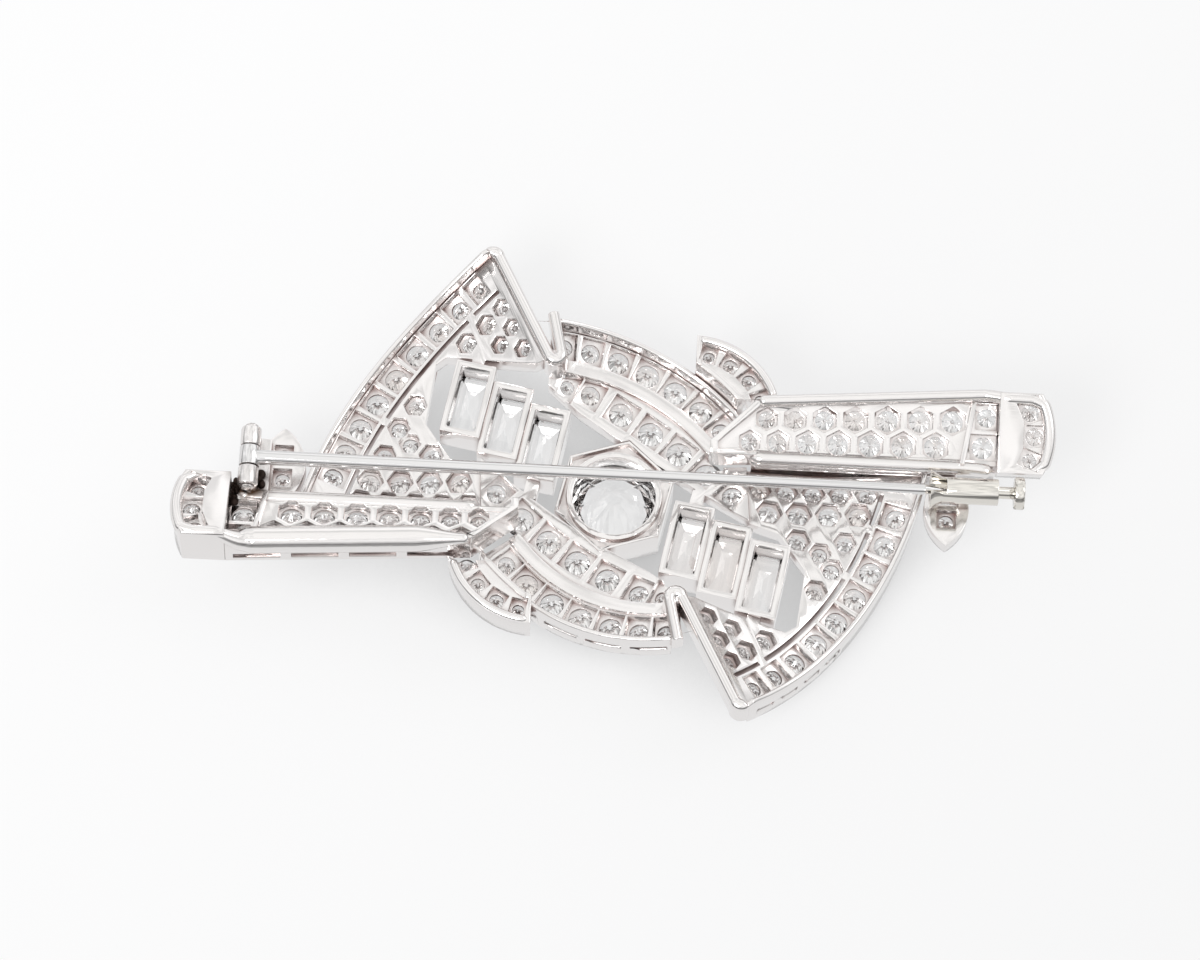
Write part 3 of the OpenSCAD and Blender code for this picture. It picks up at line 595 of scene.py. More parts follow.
@dataclass
class Smithing:
    """Softens the edges of a CAD node's plates and walls, as a file and a polishing thread do."""

    round_edge: float = 0.05 * MM
    steps: int = 2
    crease: float = 28.0
    round_rim: float = 0.17 * MM
    rim_steps: int = 4
    rim_turn: float = 50.0
    rim_upward: float = 0.7
    skin: float = 0.075 * MM
    skin_ease: float = 0.5
    skin_passes: int = 6

    def round_rims(self, shape: bmesh.types.BMesh, depth: float) -> None:
        """Rounds the top edges of a wall to a soft half-round rim.

        Args:
            shape: The mesh.
            depth: How far below the highest point an edge still counts as the rim's.
        """
        top = max(vertex.co.z for vertex in shape.verts) - depth
        rim = [
            edge
            for edge in shape.edges
            if min(vertex.co.z for vertex in edge.verts) > top
            and edge.is_manifold
            and edge.calc_face_angle() > math.radians(self.rim_turn)
            and max(face.normal.z for face in edge.link_faces) > self.rim_upward
        ]
        bmesh.ops.bevel(
            shape,
            geom=rim,
            offset=self.round_rim,
            offset_type="OFFSET",
            segments=self.rim_steps,
            profile=0.5,
            affect="EDGES",
            clamp_overlap=False,
            miter_outer="ARC",
        )

    def soften(
        self,
        node: str,
        finish: Finish,
        body: Body = Body.BROOCH,
        rim_depth: float = 0.0,
        edge: float = 0.0,
        cutter: bpy.types.Mesh | None = None,
    ) -> None:
        """Replaces a CAD node by a copy with rounded edges.

        Args:
            node: The CAD node's name.
            finish: The metal's finish.
            body: The body that it rides on.
            rim_depth: How deep its raised rim reaches below its highest point, or 0 for none.
            edge: How round its other edges are, or 0 for the usual.
            cutter: A closed mesh to cut away first.
        """
        shape = merged(node)
        if rim_depth:
            self.round_rims(shape, rim_depth)
        work = linked(node + "_work", plain(node, shape))
        if cutter:
            tool = linked(node + "_cutter", cutter)
            cut = work.modifiers.new("cut", "BOOLEAN")
            setup(cut, operation="DIFFERENCE", solver="EXACT", object=tool)
        setup(
            work.modifiers.new("edges", "BEVEL"),
            limit_method="ANGLE",
            angle_limit=math.radians(self.crease),
            width=edge or self.round_edge,
            segments=self.steps,
            use_clamp_overlap=False,
            miter_outer="MITER_ARC",
        )
        smooth = baked(work)
        if cutter:
            bpy.data.objects.remove(tool)
        smooth.shade_smooth()
        smooth.set_sharp_from_angle(angle=math.radians(self.crease))
        piece(node + "_polished", smooth, finish, body, node)

    def swell(self, node: str, finish: Finish, fuller: float) -> None:
        """Replaces a CAD node by a fuller copy with no hard edge left, as drawn wire has.

        Args:
            node: The CAD node's name.
            finish: The metal's finish.
            fuller: How far the surface is raised before it is smoothed.
        """
        shape = merged(node)
        shape.normal_update()
        raised = [vertex.co + vertex.normal * fuller for vertex in shape.verts]
        for vertex, place in zip(shape.verts, raised):
            vertex.co = place
        work = linked(node + "_work", plain(node, shape))
        setup(work.modifiers.new("skin", "REMESH"), mode="VOXEL", voxel_size=self.skin)
        soft = work.modifiers.new("soft", "SMOOTH")
        setup(soft, factor=self.skin_ease, iterations=self.skin_passes)
        smooth = baked(work)
        smooth.shade_smooth()
        piece(node + "_polished", smooth, finish, node=node)


# ---- What is grown on points and paths ----


def growth(name: str, *takes: tuple) -> tuple[Tree, Sockets]:
    """Starts a Geometry Nodes tree that takes a geometry, its own inputs and a material."""
    shape, metal = ("Geometry", "Geometry"), ("Material", "Material")
    return node_group(name, "GeometryNodeTree", (shape, *takes, metal), (shape,))


def dressed(build: Tree, shape: Socket, smooth: bool = True) -> bpy.types.NodeTree:
    """Ends a Geometry Nodes tree with real faces in the tree's material.

    Args:
        build: The tree's builder.
        shape: What was grown.
        smooth: Whether its faces are shaded smooth.

    Returns:
        The finished tree.
    """
    shape = build.out("GeometryNodeRealizeInstances", {"Geometry": shape})
    if smooth:
        shape = build.out("GeometryNodeSetShadeSmooth", {"Geometry": shape})
    material = build.add("NodeGroupInput").outputs["Material"]
    shape = build.out("GeometryNodeSetMaterial", {"Geometry": shape, "Material": material})
    build.add("NodeGroupOutput", {"Geometry": shape})
    return build.tree


@cache
def moulding_tree() -> bpy.types.NodeTree:
    """Makes the tree that sweeps a round moulding along a path of varying thickness.

    Returns:
        The tree.
    """
    build, given = growth("moulding_along_path", ("Sides", "Int", 18))
    line = build.out("GeometryNodeMeshToCurve", {"Mesh": given["Geometry"]})
    upright = build.out("GeometryNodeSetCurveNormal", {"Curve": line}, mode="Z_UP")
    profile = {"Resolution": given["Sides"], "Radius": 1.0}
    ring = build.out("GeometryNodeCurvePrimitiveCircle", profile)
    sweep = {"Curve": upright, "Profile Curve": ring, "Scale": build.read("thick")}
    return dressed(build, build.out("GeometryNodeCurveToMesh", {**sweep, "Fill Caps": True}))


def set_in_seats(build: Tree, seats: Socket, shape: Socket) -> Socket:
    """Sets a shape of diameter 1 in every seat, turned to its axis and spin, and sized to it.

    Args:
        build: The Geometry Nodes tree.
        seats: The points of the seats.
        shape: The shape to set.

    Returns:
        The instances.
    """
    axis = {"Vector": build.read("point", "FLOAT_VECTOR")}
    stand = build.out("FunctionNodeAlignRotationToVector", axis, axis="Z")
    spin = {"Axis": (0.0, 0.0, 1.0), "Angle": build.read("spin")}
    about = build.out("FunctionNodeAxisAngleToRotation", spin)
    both = {"Rotation": stand, "Rotate By": about}
    turned = build.out("FunctionNodeRotateRotation", both, rotation_space="LOCAL")
    inputs = {"Points": seats, "Instance": shape, "Rotation": turned}
    inputs["Scale"] = build.read("diameter")
    return build.out("GeometryNodeInstanceOnPoints", inputs)


@cache
def stones_tree() -> bpy.types.NodeTree:
    """Makes the tree that sets one cut stone in each seat.

    Returns:
        The tree.
    """
    build, given = growth("stones_in_seats", ("Stone", "Object"))
    stone = build.add("GeometryNodeObjectInfo", {"Object": given["Stone"], "As Instance": True})
    stones = set_in_seats(build, given["Geometry"], stone.outputs["Geometry"])
    return dressed(build, stones, smooth=False)


@cache
def grains_tree() -> bpy.types.NodeTree:
    """Makes the tree that raises four grains of metal round the front of each stone.

    Returns:
        The tree.
    """
    build, given = growth(
        "grains_round_stones",
        ("Reach", "Float", 0.5),
        ("Depth", "Float", 0.37 * MM),
        ("Grain", "Float", 0.17 * MM),
        ("Count", "Int", 4),
    )
    round_stone = {"Vertices": given["Count"], "Radius": given["Reach"]}
    corners = build.out("GeometryNodeMeshCircle", round_stone)
    rings = set_in_seats(build, given["Geometry"], corners)
    spots = build.out("GeometryNodeRealizeInstances", {"Geometry": rings})
    sink = {0: build.read("point", "FLOAT_VECTOR"), "Scale": build.times(given["Depth"], -1.0)}
    down = build.out("ShaderNodeVectorMath", sink, operation="SCALE")
    sunk = build.out("GeometryNodeSetPosition", {"Geometry": spots, "Offset": down})
    ball = {"Radius": given["Grain"], "Subdivisions": 2}
    grain = build.out("GeometryNodeMeshIcoSphere", ball)
    inputs = {"Points": sunk, "Instance": grain}
    return dressed(build, build.out("GeometryNodeInstanceOnPoints", inputs))


@cache
def dark_lumps_tree() -> bpy.types.NodeTree:
    """Makes the tree that heaps dark lumps on points: old solder and grime, and painted shadow.

    Returns:
        The tree.
    """
    build, given = growth("grime_on_points", ("Lump", "Float", 0.35 * MM), ("Seed", "Int", 5))
    ball = {"Radius": given["Lump"], "Subdivisions": 3}
    lump = build.out("GeometryNodeMeshIcoSphere", ball)
    spread = {"Min": (0.5, 0.5, 0.4), "Max": (1.1, 1.1, 0.9), "Seed": given["Seed"]}
    sizes = build.out("FunctionNodeRandomValue", spread, data_type="FLOAT_VECTOR")
    heap = {"Points": given["Geometry"], "Instance": lump, "Scale": sizes}
    return dressed(build, build.out("GeometryNodeInstanceOnPoints", heap))


def grown(
    points: bpy.types.Mesh, tree: bpy.types.NodeTree, finish: Finish, **values: object
) -> bpy.types.Mesh:
    """Runs a Geometry Nodes tree on a mesh and keeps the result as a plain mesh.

    Args:
        points: The mesh that the tree starts from.
        tree: The tree.
        finish: The finish of what it grows.
        values: The tree's other inputs by name, where they differ from its own.

    Returns:
        The plain mesh.
    """
    values["Material"] = finish.material()
    work = linked(points.name + "_work", points)
    modifier = work.modifiers.new("grow", "NODES")
    modifier.node_group = tree
    for item in tree.interface.items_tree:
        if item.in_out == "INPUT" and item.name in values:
            modifier[item.identifier] = values[item.name]
    return baked(work)


@dataclass
class Moulding:
    """A polished round moulding laid along an edge, with domed ends."""

    finish: MetalFinish = MOULDING
    dome: float = 0.4 * MM
    tip: float = 0.02

    def lay(self, name: str, path: list[tuple[Vector, float]]) -> None:
        """Sweeps the moulding along a path.

        Args:
            name: The piece's name.
            path: Points along the edge, each with the moulding's radius there.
        """
        spots = [place for place, _ in path]
        run = [0.0]
        for here, after in zip(spots, spots[1:]):
            run.append(run[-1] + (after - here).length)
        thick = []
        for (_, radius), walked in zip(path, run):
            end = min(walked, run[-1] - walked) / self.dome
            thick.append(radius * math.sqrt(max(self.tip, 1 - max(0.0, 1 - end) ** 2)))
        mesh = bpy.data.meshes.new(name)
        mesh.from_pydata(spots, [(i, i + 1) for i in range(len(spots) - 1)], [])
        mesh.attributes.new("thick", "FLOAT", "POINT").data.foreach_set("value", thick)
        piece(name, grown(mesh, moulding_tree(), self.finish), self.finish)


# ---- Stones ----


@dataclass(frozen=True)
class Seat:
    """Where one round stone sits: the middle of its girdle, the way its point faces, its size."""

    place: Vector
    point: Vector
    diameter: float


@dataclass
class BrilliantCut:
    """A round brilliant of diameter 1, its point up and its girdle's upper edge at height 0."""

    mains: int = 8
    table: float = 0.56
    crown: float = 0.16
    girdle: float = 0.03
    pavilion: float = 0.43
    star: float = 0.39
    star_drop: float = 1.12
    lower_half: float = 0.115

    def ring(self, radius: float, height: float, count: int, turn: float = 0.0) -> list[Vector]:
        """Places points round the stone, the first of them turned, in radians."""
        angles = [turn + i * math.tau / count for i in range(count)]
        return [Vector((radius * math.cos(a), radius * math.sin(a), height)) for a in angles]

    def mesh(self) -> bpy.types.Mesh:
        """Cuts the stone's facets.

        Returns:
            The closed, flat-shaded mesh.
        """
        mains, rounds = self.mains, 2 * self.mains
        between = math.pi / mains
        slope = (0.5 - self.star) / (0.5 - self.table / 2)
        star_height = -self.girdle - self.crown * slope * self.star_drop
        half_height = self.pavilion * (1 - self.lower_half / 0.5 / math.cos(between))
        cut = bmesh.new()
        table, star, low, high, half, (point,) = (
            [cut.verts.new(spot) for spot in self.ring(*ring)]
            for ring in (
                (self.table / 2, -self.girdle - self.crown, mains),
                (self.star, star_height, mains, between),
                (0.5, -self.girdle, rounds),
                (0.5, 0.0, rounds),
                (self.lower_half, half_height, mains, between),
                (0.0, self.pavilion, 1),
            )
        )
        cut.faces.new(table)
        for i in range(mains):
            even, odd, last = 2 * i, 2 * i + 1, (2 * i + 2) % rounds
            for corners in (
                (table[i], table[(i + 1) % mains], star[i]),
                (star[i - 1], table[i], star[i], low[even]),
                (star[i], low[odd], low[even]),
                (star[i], low[last], low[odd]),
                (half[i], high[even], high[odd]),
                (half[i], high[odd], high[last]),
                (point, half[i - 1], high[even], half[i]),
            ):
                cut.faces.new(corners)
        for i in range(rounds):
            after = (i + 1) % rounds
            cut.faces.new((low[i], low[after], high[after], high[i]))
        return plain("brilliant_cut", cut, outward=True)


@dataclass
class StoneWork:
    """The round diamonds of the brooch, and the grains that hold them at the front."""

    cut: BrilliantCut = field(default_factory=BrilliantCut)
    seed: int = 11
    touch: float = 0.98

    def __post_init__(self) -> None:
        """Cuts the one stone that all seats share."""
        self.random = np.random.default_rng(self.seed)
        self.stone = bpy.data.objects.new("brilliant_template", self.cut.mesh())

    def seats(self, node: str) -> list[Seat]:
        """Reads where a CAD node's stones sit.

        Args:
            node: The CAD node's name.

        Returns:
            One seat for each stone.
        """
        found = []
        for part in islands(merged(node)):
            middle = part.mean(0)
            axis = np.linalg.svd(part - middle, full_matrices=False)[2][2]
            along = (part - middle) @ axis
            if abs(along.min()) > along.max():
                axis, along = -axis, -along
            tip = part[along.argmax()]
            offset = part - tip
            across = offset - np.outer(offset @ axis, axis)
            diameter = 2 * float(np.linalg.norm(across, axis=1).max())
            place = tip - axis * self.cut.pavilion * diameter
            found.append(Seat(Vector(place), Vector(axis), diameter))
        return found

    def points(self, name: str, seats: list[Seat]) -> bpy.types.Mesh:
        """Lays the seats out as points with the sizes and turns that the trees read.

        Args:
            name: Name of the mesh.
            seats: The seats.

        Returns:
            The mesh of points.
        """
        mesh = bpy.data.meshes.new(name)
        mesh.from_pydata([seat.place for seat in seats], [], [])
        axes = np.array([seat.point for seat in seats]).ravel()
        sizes = np.array([seat.diameter for seat in seats])
        spins = self.random.uniform(0.0, math.tau, len(seats))
        for label, kind, key, values in (
            ("point", "FLOAT_VECTOR", "vector", axes),
            ("diameter", "FLOAT", "value", sizes),
            ("spin", "FLOAT", "value", spins),
        ):
            mesh.attributes.new(label, kind, "POINT").data.foreach_set(key, values)
        return mesh

    def widened(self, seats: list[Seat], full: float, rise: float) -> list[Seat]:
        """Widens the stones until they fill their windows or nearly touch, and lifts them.

        Args:
            seats: The row's seats.
            full: The widest share wanted.
            rise: How far each stone is lifted towards the back.

        Returns:
            The new seats.
        """
        wide = []
        for seat in seats:
            room = [full]
            for other in seats:
                if other is not seat:
                    apart = (seat.place - other.place).length
                    room.append(self.touch * 2 * (apart / (seat.diameter + other.diameter)))
            place = seat.place + seat.point.normalized() * rise
            wide.append(Seat(place, seat.point, seat.diameter * min(room)))
        return wide

    def set_row(
        self,
        node: str,
        metal: MetalFinish,
        grains: bool = True,
        full: float = 1.22,
        rise: float = 0.07 * MM,
    ) -> None:
        """Replaces a CAD node's plain stones by cut ones, with their grains.

        Args:
            node: The CAD node's name.
            metal: The finish of the metal that holds them.
            grains: Whether grains hold the stones at the front.
            full: How much wider than their seats the stones are, so that they fill their windows.
            rise: How far they are lifted towards the back.
        """
        seats = self.seats(node)
        finish = BRILLIANT if grains else SOLITAIRE
        wide = self.points(node, self.widened(seats, full, rise))
        stones = grown(wide, stones_tree(), finish, Stone=self.stone)
        piece(node + "_cut", stones, finish, node=node)
        if grains:
            held = grown(self.points(node, seats), grains_tree(), metal)
            piece(node + "_grains", held, metal)

    def finish(self) -> None:
        """Removes the shared stone once every seat is filled."""
        bpy.data.objects.remove(self.stone)


@dataclass
class BaguetteCut:
    """Step-cut baguettes: each loft runs from the table, past the girdle, to the keel.

    The girdle and the steps are shares of the height and of the way in from the girdle.
    """

    end_share: float = 1.9
    table_inset: float = 0.4 * MM
    keel: float = 0.02 * MM
    girdle: Pair = (0.3, 0.1)
    crown_step: Pair = (0.6, 0.42)
    pavilion_steps: tuple[Pair, ...] = ((0.42, 0.3), (0.78, 0.66), (1.0, 1.0))

    def levels(self, low: float, high: float, half_width: float) -> list[Pair]:
        """Lists the cut's steps.

        Args:
            low: Height of the table.
            high: Height of the keel.
            half_width: Half of the stone's width.

        Returns:
            The height of each step, and how far it lies inside the girdle.
        """
        start, thick = self.girdle
        girdle_low = low + start * (high - low)
        girdle_high = girdle_low + thick * (high - low)
        rise, inset = self.crown_step
        crown = (low + rise * (girdle_low - low), inset * self.table_inset)
        steps = [(low, self.table_inset), crown, (girdle_low, 0.0), (girdle_high, 0.0)]
        depth = high - girdle_high
        reach = half_width - self.keel
        for rise, inset in self.pavilion_steps:
            steps.append((girdle_high + rise * depth, inset * reach))
        return steps

    def stone(self, part: np.ndarray, cut: bmesh.types.BMesh) -> None:
        """Cuts one stone in the space of a CAD solid.

        Args:
            part: The CAD solid's vertices.
            cut: The mesh that the stone is added to.
        """
        plan = part[:, :2]
        along = np.linalg.svd(plan - plan.mean(0), full_matrices=False)[2][0]
        across = np.array((-along[1], along[0]))
        spots = plan @ np.stack((along, across)).T
        centre = (spots.max(0) + spots.min(0)) / 2
        half = (spots.max(0) - spots.min(0)) / 2
        levels = self.levels(part[:, 2].min(), part[:, 2].max(), half[1])
        girdle_high = levels[3][0]
        rings = []
        for height, inset in levels:
            ring = []
            end = inset if height < girdle_high else self.end_share * inset
            for sx, sy in ((1, 1), (-1, 1), (-1, -1), (1, -1)):
                spot = centre + np.array((sx * (half[0] - end), sy * (half[1] - inset)))
                corner = spot[0] * along + spot[1] * across
                ring.append(cut.verts.new((corner[0], corner[1], height)))
            rings.append(ring)
        for lower, upper in zip(rings, rings[1:]):
            for i in range(4):
                cut.faces.new((lower[i], lower[(i + 1) % 4], upper[(i + 1) % 4], upper[i]))
        cut.faces.new(rings[0])
        cut.faces.new(rings[-1])

    def set_group(self, node: str) -> None:
        """Replaces a CAD node's plain baguettes by cut ones.

        Args:
            node: The CAD node's name.
        """
        cut = bmesh.new()
        for part in islands(merged(node)):
            self.stone(part, cut)
        piece(node + "_cut", plain(node, cut, outward=True), BAGUETTE, node=node)


# ---- Sub-assemblies ----


@dataclass
class Wings:
    """The two fan wings: pierced plates, rims, folded edges, and baguettes in their openings."""

    smith: Smithing
    stones: StoneWork
    wall_rim: float = 9 * MM
    fold_swell: float = 0.08 * MM
    collet_edge: float = 0.08 * MM
    field_full: float = 1.25
    field_rise: float = 0.24 * MM

    def build(self) -> None:
        """Builds both wings."""
        for side in SIDES:
            self.smith.soften(f"{side}_wing", GALLERY)
            self.smith.soften(f"{side}_wing_wall", WALL, rim_depth=self.wall_rim)
            self.smith.swell(f"{side}_fold", WALL, self.fold_swell)
            for i in range(1, 4):
                self.smith.soften(f"{side}_baguette_collet_{i}", WALL, edge=self.collet_edge)
            self.stones.set_row(f"{side}_border_stones", GALLERY)
            self.stones.set_row(
                f"{side}_field_stones", GALLERY, full=self.field_full, rise=self.field_rise
            )
            BaguetteCut().set_group(f"{side}_baguettes")


@dataclass
class Ribbons:
    """The two crossing ribbons and the small loops behind them."""

    smith: Smithing
    stones: StoneWork
    wall_rim: float = 9 * MM
    loop_centre: Pair = (5.4 * MM, 5.1 * MM)
    loop_edge: float = 6.4 * MM
    loop_span: Pair = (87.0, 17.5)
    loop_stops: int = 40
    loop_top: float = 7.6 * MM
    loop_bead: float = 0.33 * MM

    def loop_rim(self, half: str) -> None:
        """Lays the tall rounded rim along a loop's outer edge.

        Args:
            half: Which half of the brooch.
        """
        sign = 1.0 if half == HALVES[0] else -1.0
        path = []
        for angle in np.radians(np.linspace(*self.loop_span, self.loop_stops)):
            x = self.loop_centre[0] + self.loop_edge * math.cos(angle)
            y = self.loop_centre[1] + self.loop_edge * math.sin(angle)
            path.append((Vector((sign * x, sign * y, self.loop_top)), self.loop_bead))
        Moulding().lay(f"{half}_loop_rim", path)

    def build(self) -> None:
        """Builds both ribbons and loops."""
        for half in HALVES:
            self.loop_rim(half)
            for part in ("outer_ribbon", "inner_ribbon", "loop"):
                self.smith.soften(f"{half}_{part}", GALLERY)
            self.smith.soften(f"{half}_ribbon_wall", WALL, rim_depth=self.wall_rim)
            for row in ("outer_stones", "inner_stones", "loop_stones"):
                self.stones.set_row(f"{half}_{row}", GALLERY)


@dataclass
class Arms:
    """The two tapered arms with their end curls, and the leaves beside them.

    The runs and the spots of grime and painted shadow are in millimetres of an arm's own frame:
    along it, across it, up.
    """

    smith: Smithing
    stones: StoneWork
    place: Triple = (8 * MM, 2.55 * MM, 7 * MM)
    tilt: float = 17.0
    length: float = 20 * MM
    width: float = 3.9 * MM
    flare: float = 1.5 * MM
    curl_centre: Pair = (17.7 * MM, 2.2 * MM)
    curl_r: float = 6.3 * MM
    curl_floor: float = -0.6 * MM
    rim: float = 1.3 * MM
    curl_rim: float = 2.0 * MM
    rim_depths: Pair = (0.7 * MM, 0.3 * MM)

    bead: float = 0.42 * MM
    near_bead: float = 1.0 * MM
    bead_run: Triple = (2.3, 19.3, 0.35)
    bead_grows: Pair = (2.5 * MM, 4 * MM)
    bead_fades: float = 2 * MM
    bead_out: float = 0.3 * MM
    bead_up: float = 0.18 * MM

    curl_bead: float = 0.46 * MM
    curl_swell: float = 0.2 * MM
    curl_up: float = 0.12 * MM
    curl_runs: tuple[Run, ...] = ((20.6, 22.4, 6), (22.6, 20.7, 6))
    curl_over: Pair = (0.06, 0.05)
    curl_stops: int = 26
    floor_bead: float = 0.24 * MM
    floor_in: float = 0.2 * MM
    seam_run: Run = (0.1, 4.6, 12)
    seam_at: float = 20.2 * MM
    seam_bead: float = 0.22 * MM
    cuts: int = 3
    keep: int = 3

    inner_run: Run = (1.9, 19.9, 40)
    inner_at: Pair = (-0.12 * MM, -0.24 * MM)
    inner_bead: float = 0.55 * MM
    inner_flare: Pair = (-0.2 * MM, 0.08 * MM)
    flare_from: float = 17.4 * MM
    flare_over: float = 2.5 * MM
    lower_end: float = 17.6 * MM
    lower_at: Pair = (-0.3 * MM, -1.3 * MM)
    lower_bead: float = 0.5 * MM

    grime_and_shadow_spots: tuple[Triple, ...] = (
        (19.75, -0.9, 0.5), (19.7, -0.5, 0.35), (19.65, -0.15, 0.3), (19.8, 0.25, 0.1),
        (19.75, 0.6, 0.0), (19.45, -0.7, 0.2), (19.3, 0.1, -0.1), (18.2, -1.5, 0.2),
        (17.9, -1.15, 0.0), (18.5, -0.75, 0.1), (19.98, -0.6, 0.3), (19.98, -0.2, 0.25),
        (20.0, 0.2, 0.1), (19.55, -0.35, 0.3), (18.0, -1.85, 0.3),
    )

    def at(self, side: str, u: float, v: float, w: float) -> Vector:
        """Turns a point of an arm's own frame into the brooch's frame.

        Args:
            side: Which arm.
            u: Along the arm from its inner end.
            v: Across it from its inner wall.
            w: Up from its plate's back.

        Returns:
            The point.
        """
        tilt = math.radians(self.tilt)
        sign = 1.0 if side == "right" else -1.0
        x = self.place[0] + u
        y = self.place[1] + v * math.cos(tilt) - w * math.sin(tilt)
        z = self.place[2] + v * math.sin(tilt) + w * math.cos(tilt)
        return Vector((sign * x, sign * y, z))

    def edge(self, u: float) -> float:
        """Gives the arm's width at a place along it."""
        return self.width + self.flare * u / self.length

    def edge_path(self, side: str) -> list[tuple[float, ...]]:
        """Lists the stops of the outer moulding along the arm, thicker on the left one.

        Args:
            side: Which arm.

        Returns:
            Each stop's place in the arm's frame, and the moulding's radius there.
        """
        full = self.near_bead if side == "left" else self.bead
        start, over = self.bead_grows
        stops = []
        for u in np.arange(*self.bead_run) * MM:
            grown_in = min(1.0, max(0.0, (u - start) / over))
            share = grown_in * min(1.0, max(0.0, (self.length - u) / self.bead_fades))
            share = share * share * (3 - 2 * share)
            radius = self.bead + (full - self.bead) * share
            v = self.edge(u) - radius + self.bead_out
            stops.append((u, v, self.rim - radius + self.bead_up, radius))
        return stops

    def curl_path(self) -> list[tuple[float, ...]]:
        """Lists the stops of the outer moulding round the curl and back along its seam.

        Returns:
            Each stop's place in the arm's frame, and the moulding's radius there.
        """
        bead = self.curl_bead
        reach = self.curl_r - bead + self.curl_swell
        top = self.edge(self.length) - bead
        height = self.curl_rim - bead + self.curl_up
        outward, inward = self.curl_runs
        stops = [(u, top, height, bead) for u in np.linspace(*outward) * MM]
        start = math.asin((top - self.curl_centre[1]) / reach) - self.curl_over[0]
        end = math.asin((self.curl_floor + bead - self.curl_centre[1]) / reach) + self.curl_over[1]
        for angle in np.linspace(start, end, self.curl_stops):
            u = self.curl_centre[0] + reach * math.cos(angle)
            v = self.curl_centre[1] + reach * math.sin(angle)
            stops.append((u, v, height, bead))
        floor = self.curl_floor + self.floor_in
        stops += [(u, floor, height, self.floor_bead) for u in np.linspace(*inward) * MM]
        seam = np.linspace(*self.seam_run) * MM
        stops += [(self.seam_at, v, height, self.seam_bead) for v in seam]
        return stops

    def outer_rim(self, side: str) -> None:
        """Lays the rounded moulding along an arm's outer edge and on round its curl.

        Args:
            side: Which arm.
        """
        smooth = np.array(self.edge_path(side) + self.curl_path())
        # Each pass cuts every corner at a quarter of its legs.
        for _ in range(self.cuts):
            quarter = 0.75 * smooth[:-1] + 0.25 * smooth[1:]
            three = 0.25 * smooth[:-1] + 0.75 * smooth[1:]
            inside = np.stack([quarter, three], 1).reshape(-1, 4)
            smooth = np.concatenate([smooth[:1], inside, smooth[-1:]])
        path = [(self.at(side, *stop[:3]), float(stop[3])) for stop in smooth[:: self.keep]]
        Moulding().lay(f"{side}_arm_rim", path)

    def inner_rim(self, side: str) -> None:
        """Lays the mouldings along an arm's inner edge, the upper one flared at its end.

        Args:
            side: Which arm.
        """
        path, lower = [], []
        for u in np.linspace(*self.inner_run) * MM:
            flare = max(0.0, u - self.flare_from) / self.flare_over
            v, w = (at + by * flare**2 for at, by in zip(self.inner_at, self.inner_flare))
            path.append((self.at(side, u, v, w), self.inner_bead))
            if u < self.lower_end:
                lower.append((self.at(side, u, *self.lower_at), self.lower_bead))
        Moulding().lay(f"{side}_arm_inner_rim", path)
        Moulding().lay(f"{side}_arm_lower_rim", lower)

    def heap_dark_lumps(self) -> None:
        """Heaps dark lumps between the left curl and the hinge: old solder and grime, and painted
        shadow in the gap.
        """
        mesh = bpy.data.meshes.new("hinge_solder")
        spots = [self.at("left", u * MM, v * MM, w * MM) for u, v, w in self.grime_and_shadow_spots]
        mesh.from_pydata(spots, [], [])
        piece("hinge_solder", grown(mesh, dark_lumps_tree(), GRIME_AND_SHADOW), GRIME_AND_SHADOW)

    def build(self) -> None:
        """Builds both arms."""
        arm_rim, curl_rim = self.rim_depths
        self.heap_dark_lumps()
        for side in SIDES:
            self.outer_rim(side)
            self.inner_rim(side)
            for part, finish, rim in (
                ("arm", WALL, arm_rim),
                ("curl", WALL, curl_rim),
                ("leaf", GALLERY, 0.0),
            ):
                self.smith.soften(f"{side}_{part}", finish, rim_depth=rim)
                self.stones.set_row(f"{side}_{part}_stones", finish)


@dataclass
class Centre:
    """The centre stone in its six-sided collet, with a round bezel inside a six-sided frame."""

    smith: Smithing
    stones: StoneWork
    frame_corner: float = 4.34 * MM
    bezel: float = 3.52 * MM
    groove: Pair = (3.65 * MM, 4.6 * MM)
    turn: float = 18.0
    sides: int = 48
    stone_full: float = 0.995

    def groove_cutter(self) -> bpy.types.Mesh:
        """Makes the cutter for the groove between the bezel and the frame.

        Returns:
            The closed mesh.
        """
        cut = bmesh.new()
        rings = []
        sixth = math.pi / 3
        for height in self.groove:
            inner, outer = [], []
            for i in range(self.sides):
                angle = math.tau * i / self.sides
                flat = self.frame_corner * math.cos(sixth / 2)
                reach = flat / math.cos(angle % sixth - sixth / 2)
                turned = angle + math.radians(self.turn)
                way = Vector((math.cos(turned), math.sin(turned), 0))
                up = Vector((0, 0, height))
                inner.append(cut.verts.new(way * self.bezel + up))
                outer.append(cut.verts.new(way * reach + up))
            rings += [inner, outer]
        low_in, low_out, high_in, high_out = rings
        for i in range(self.sides):
            j = (i + 1) % self.sides
            for a, b in (
                (low_in, low_out),
                (high_in, high_out),
                (low_in, high_in),
                (low_out, high_out),
            ):
                cut.faces.new((a[i], a[j], b[j], b[i]))
        return plain("collet_groove", cut, outward=True)

    def build(self) -> None:
        """Builds the centre setting."""
        self.smith.soften("centre_collet", WALL, cutter=self.groove_cutter())
        self.stones.set_row("centre_stone", WALL, grains=False, full=self.stone_full, rise=0.0)


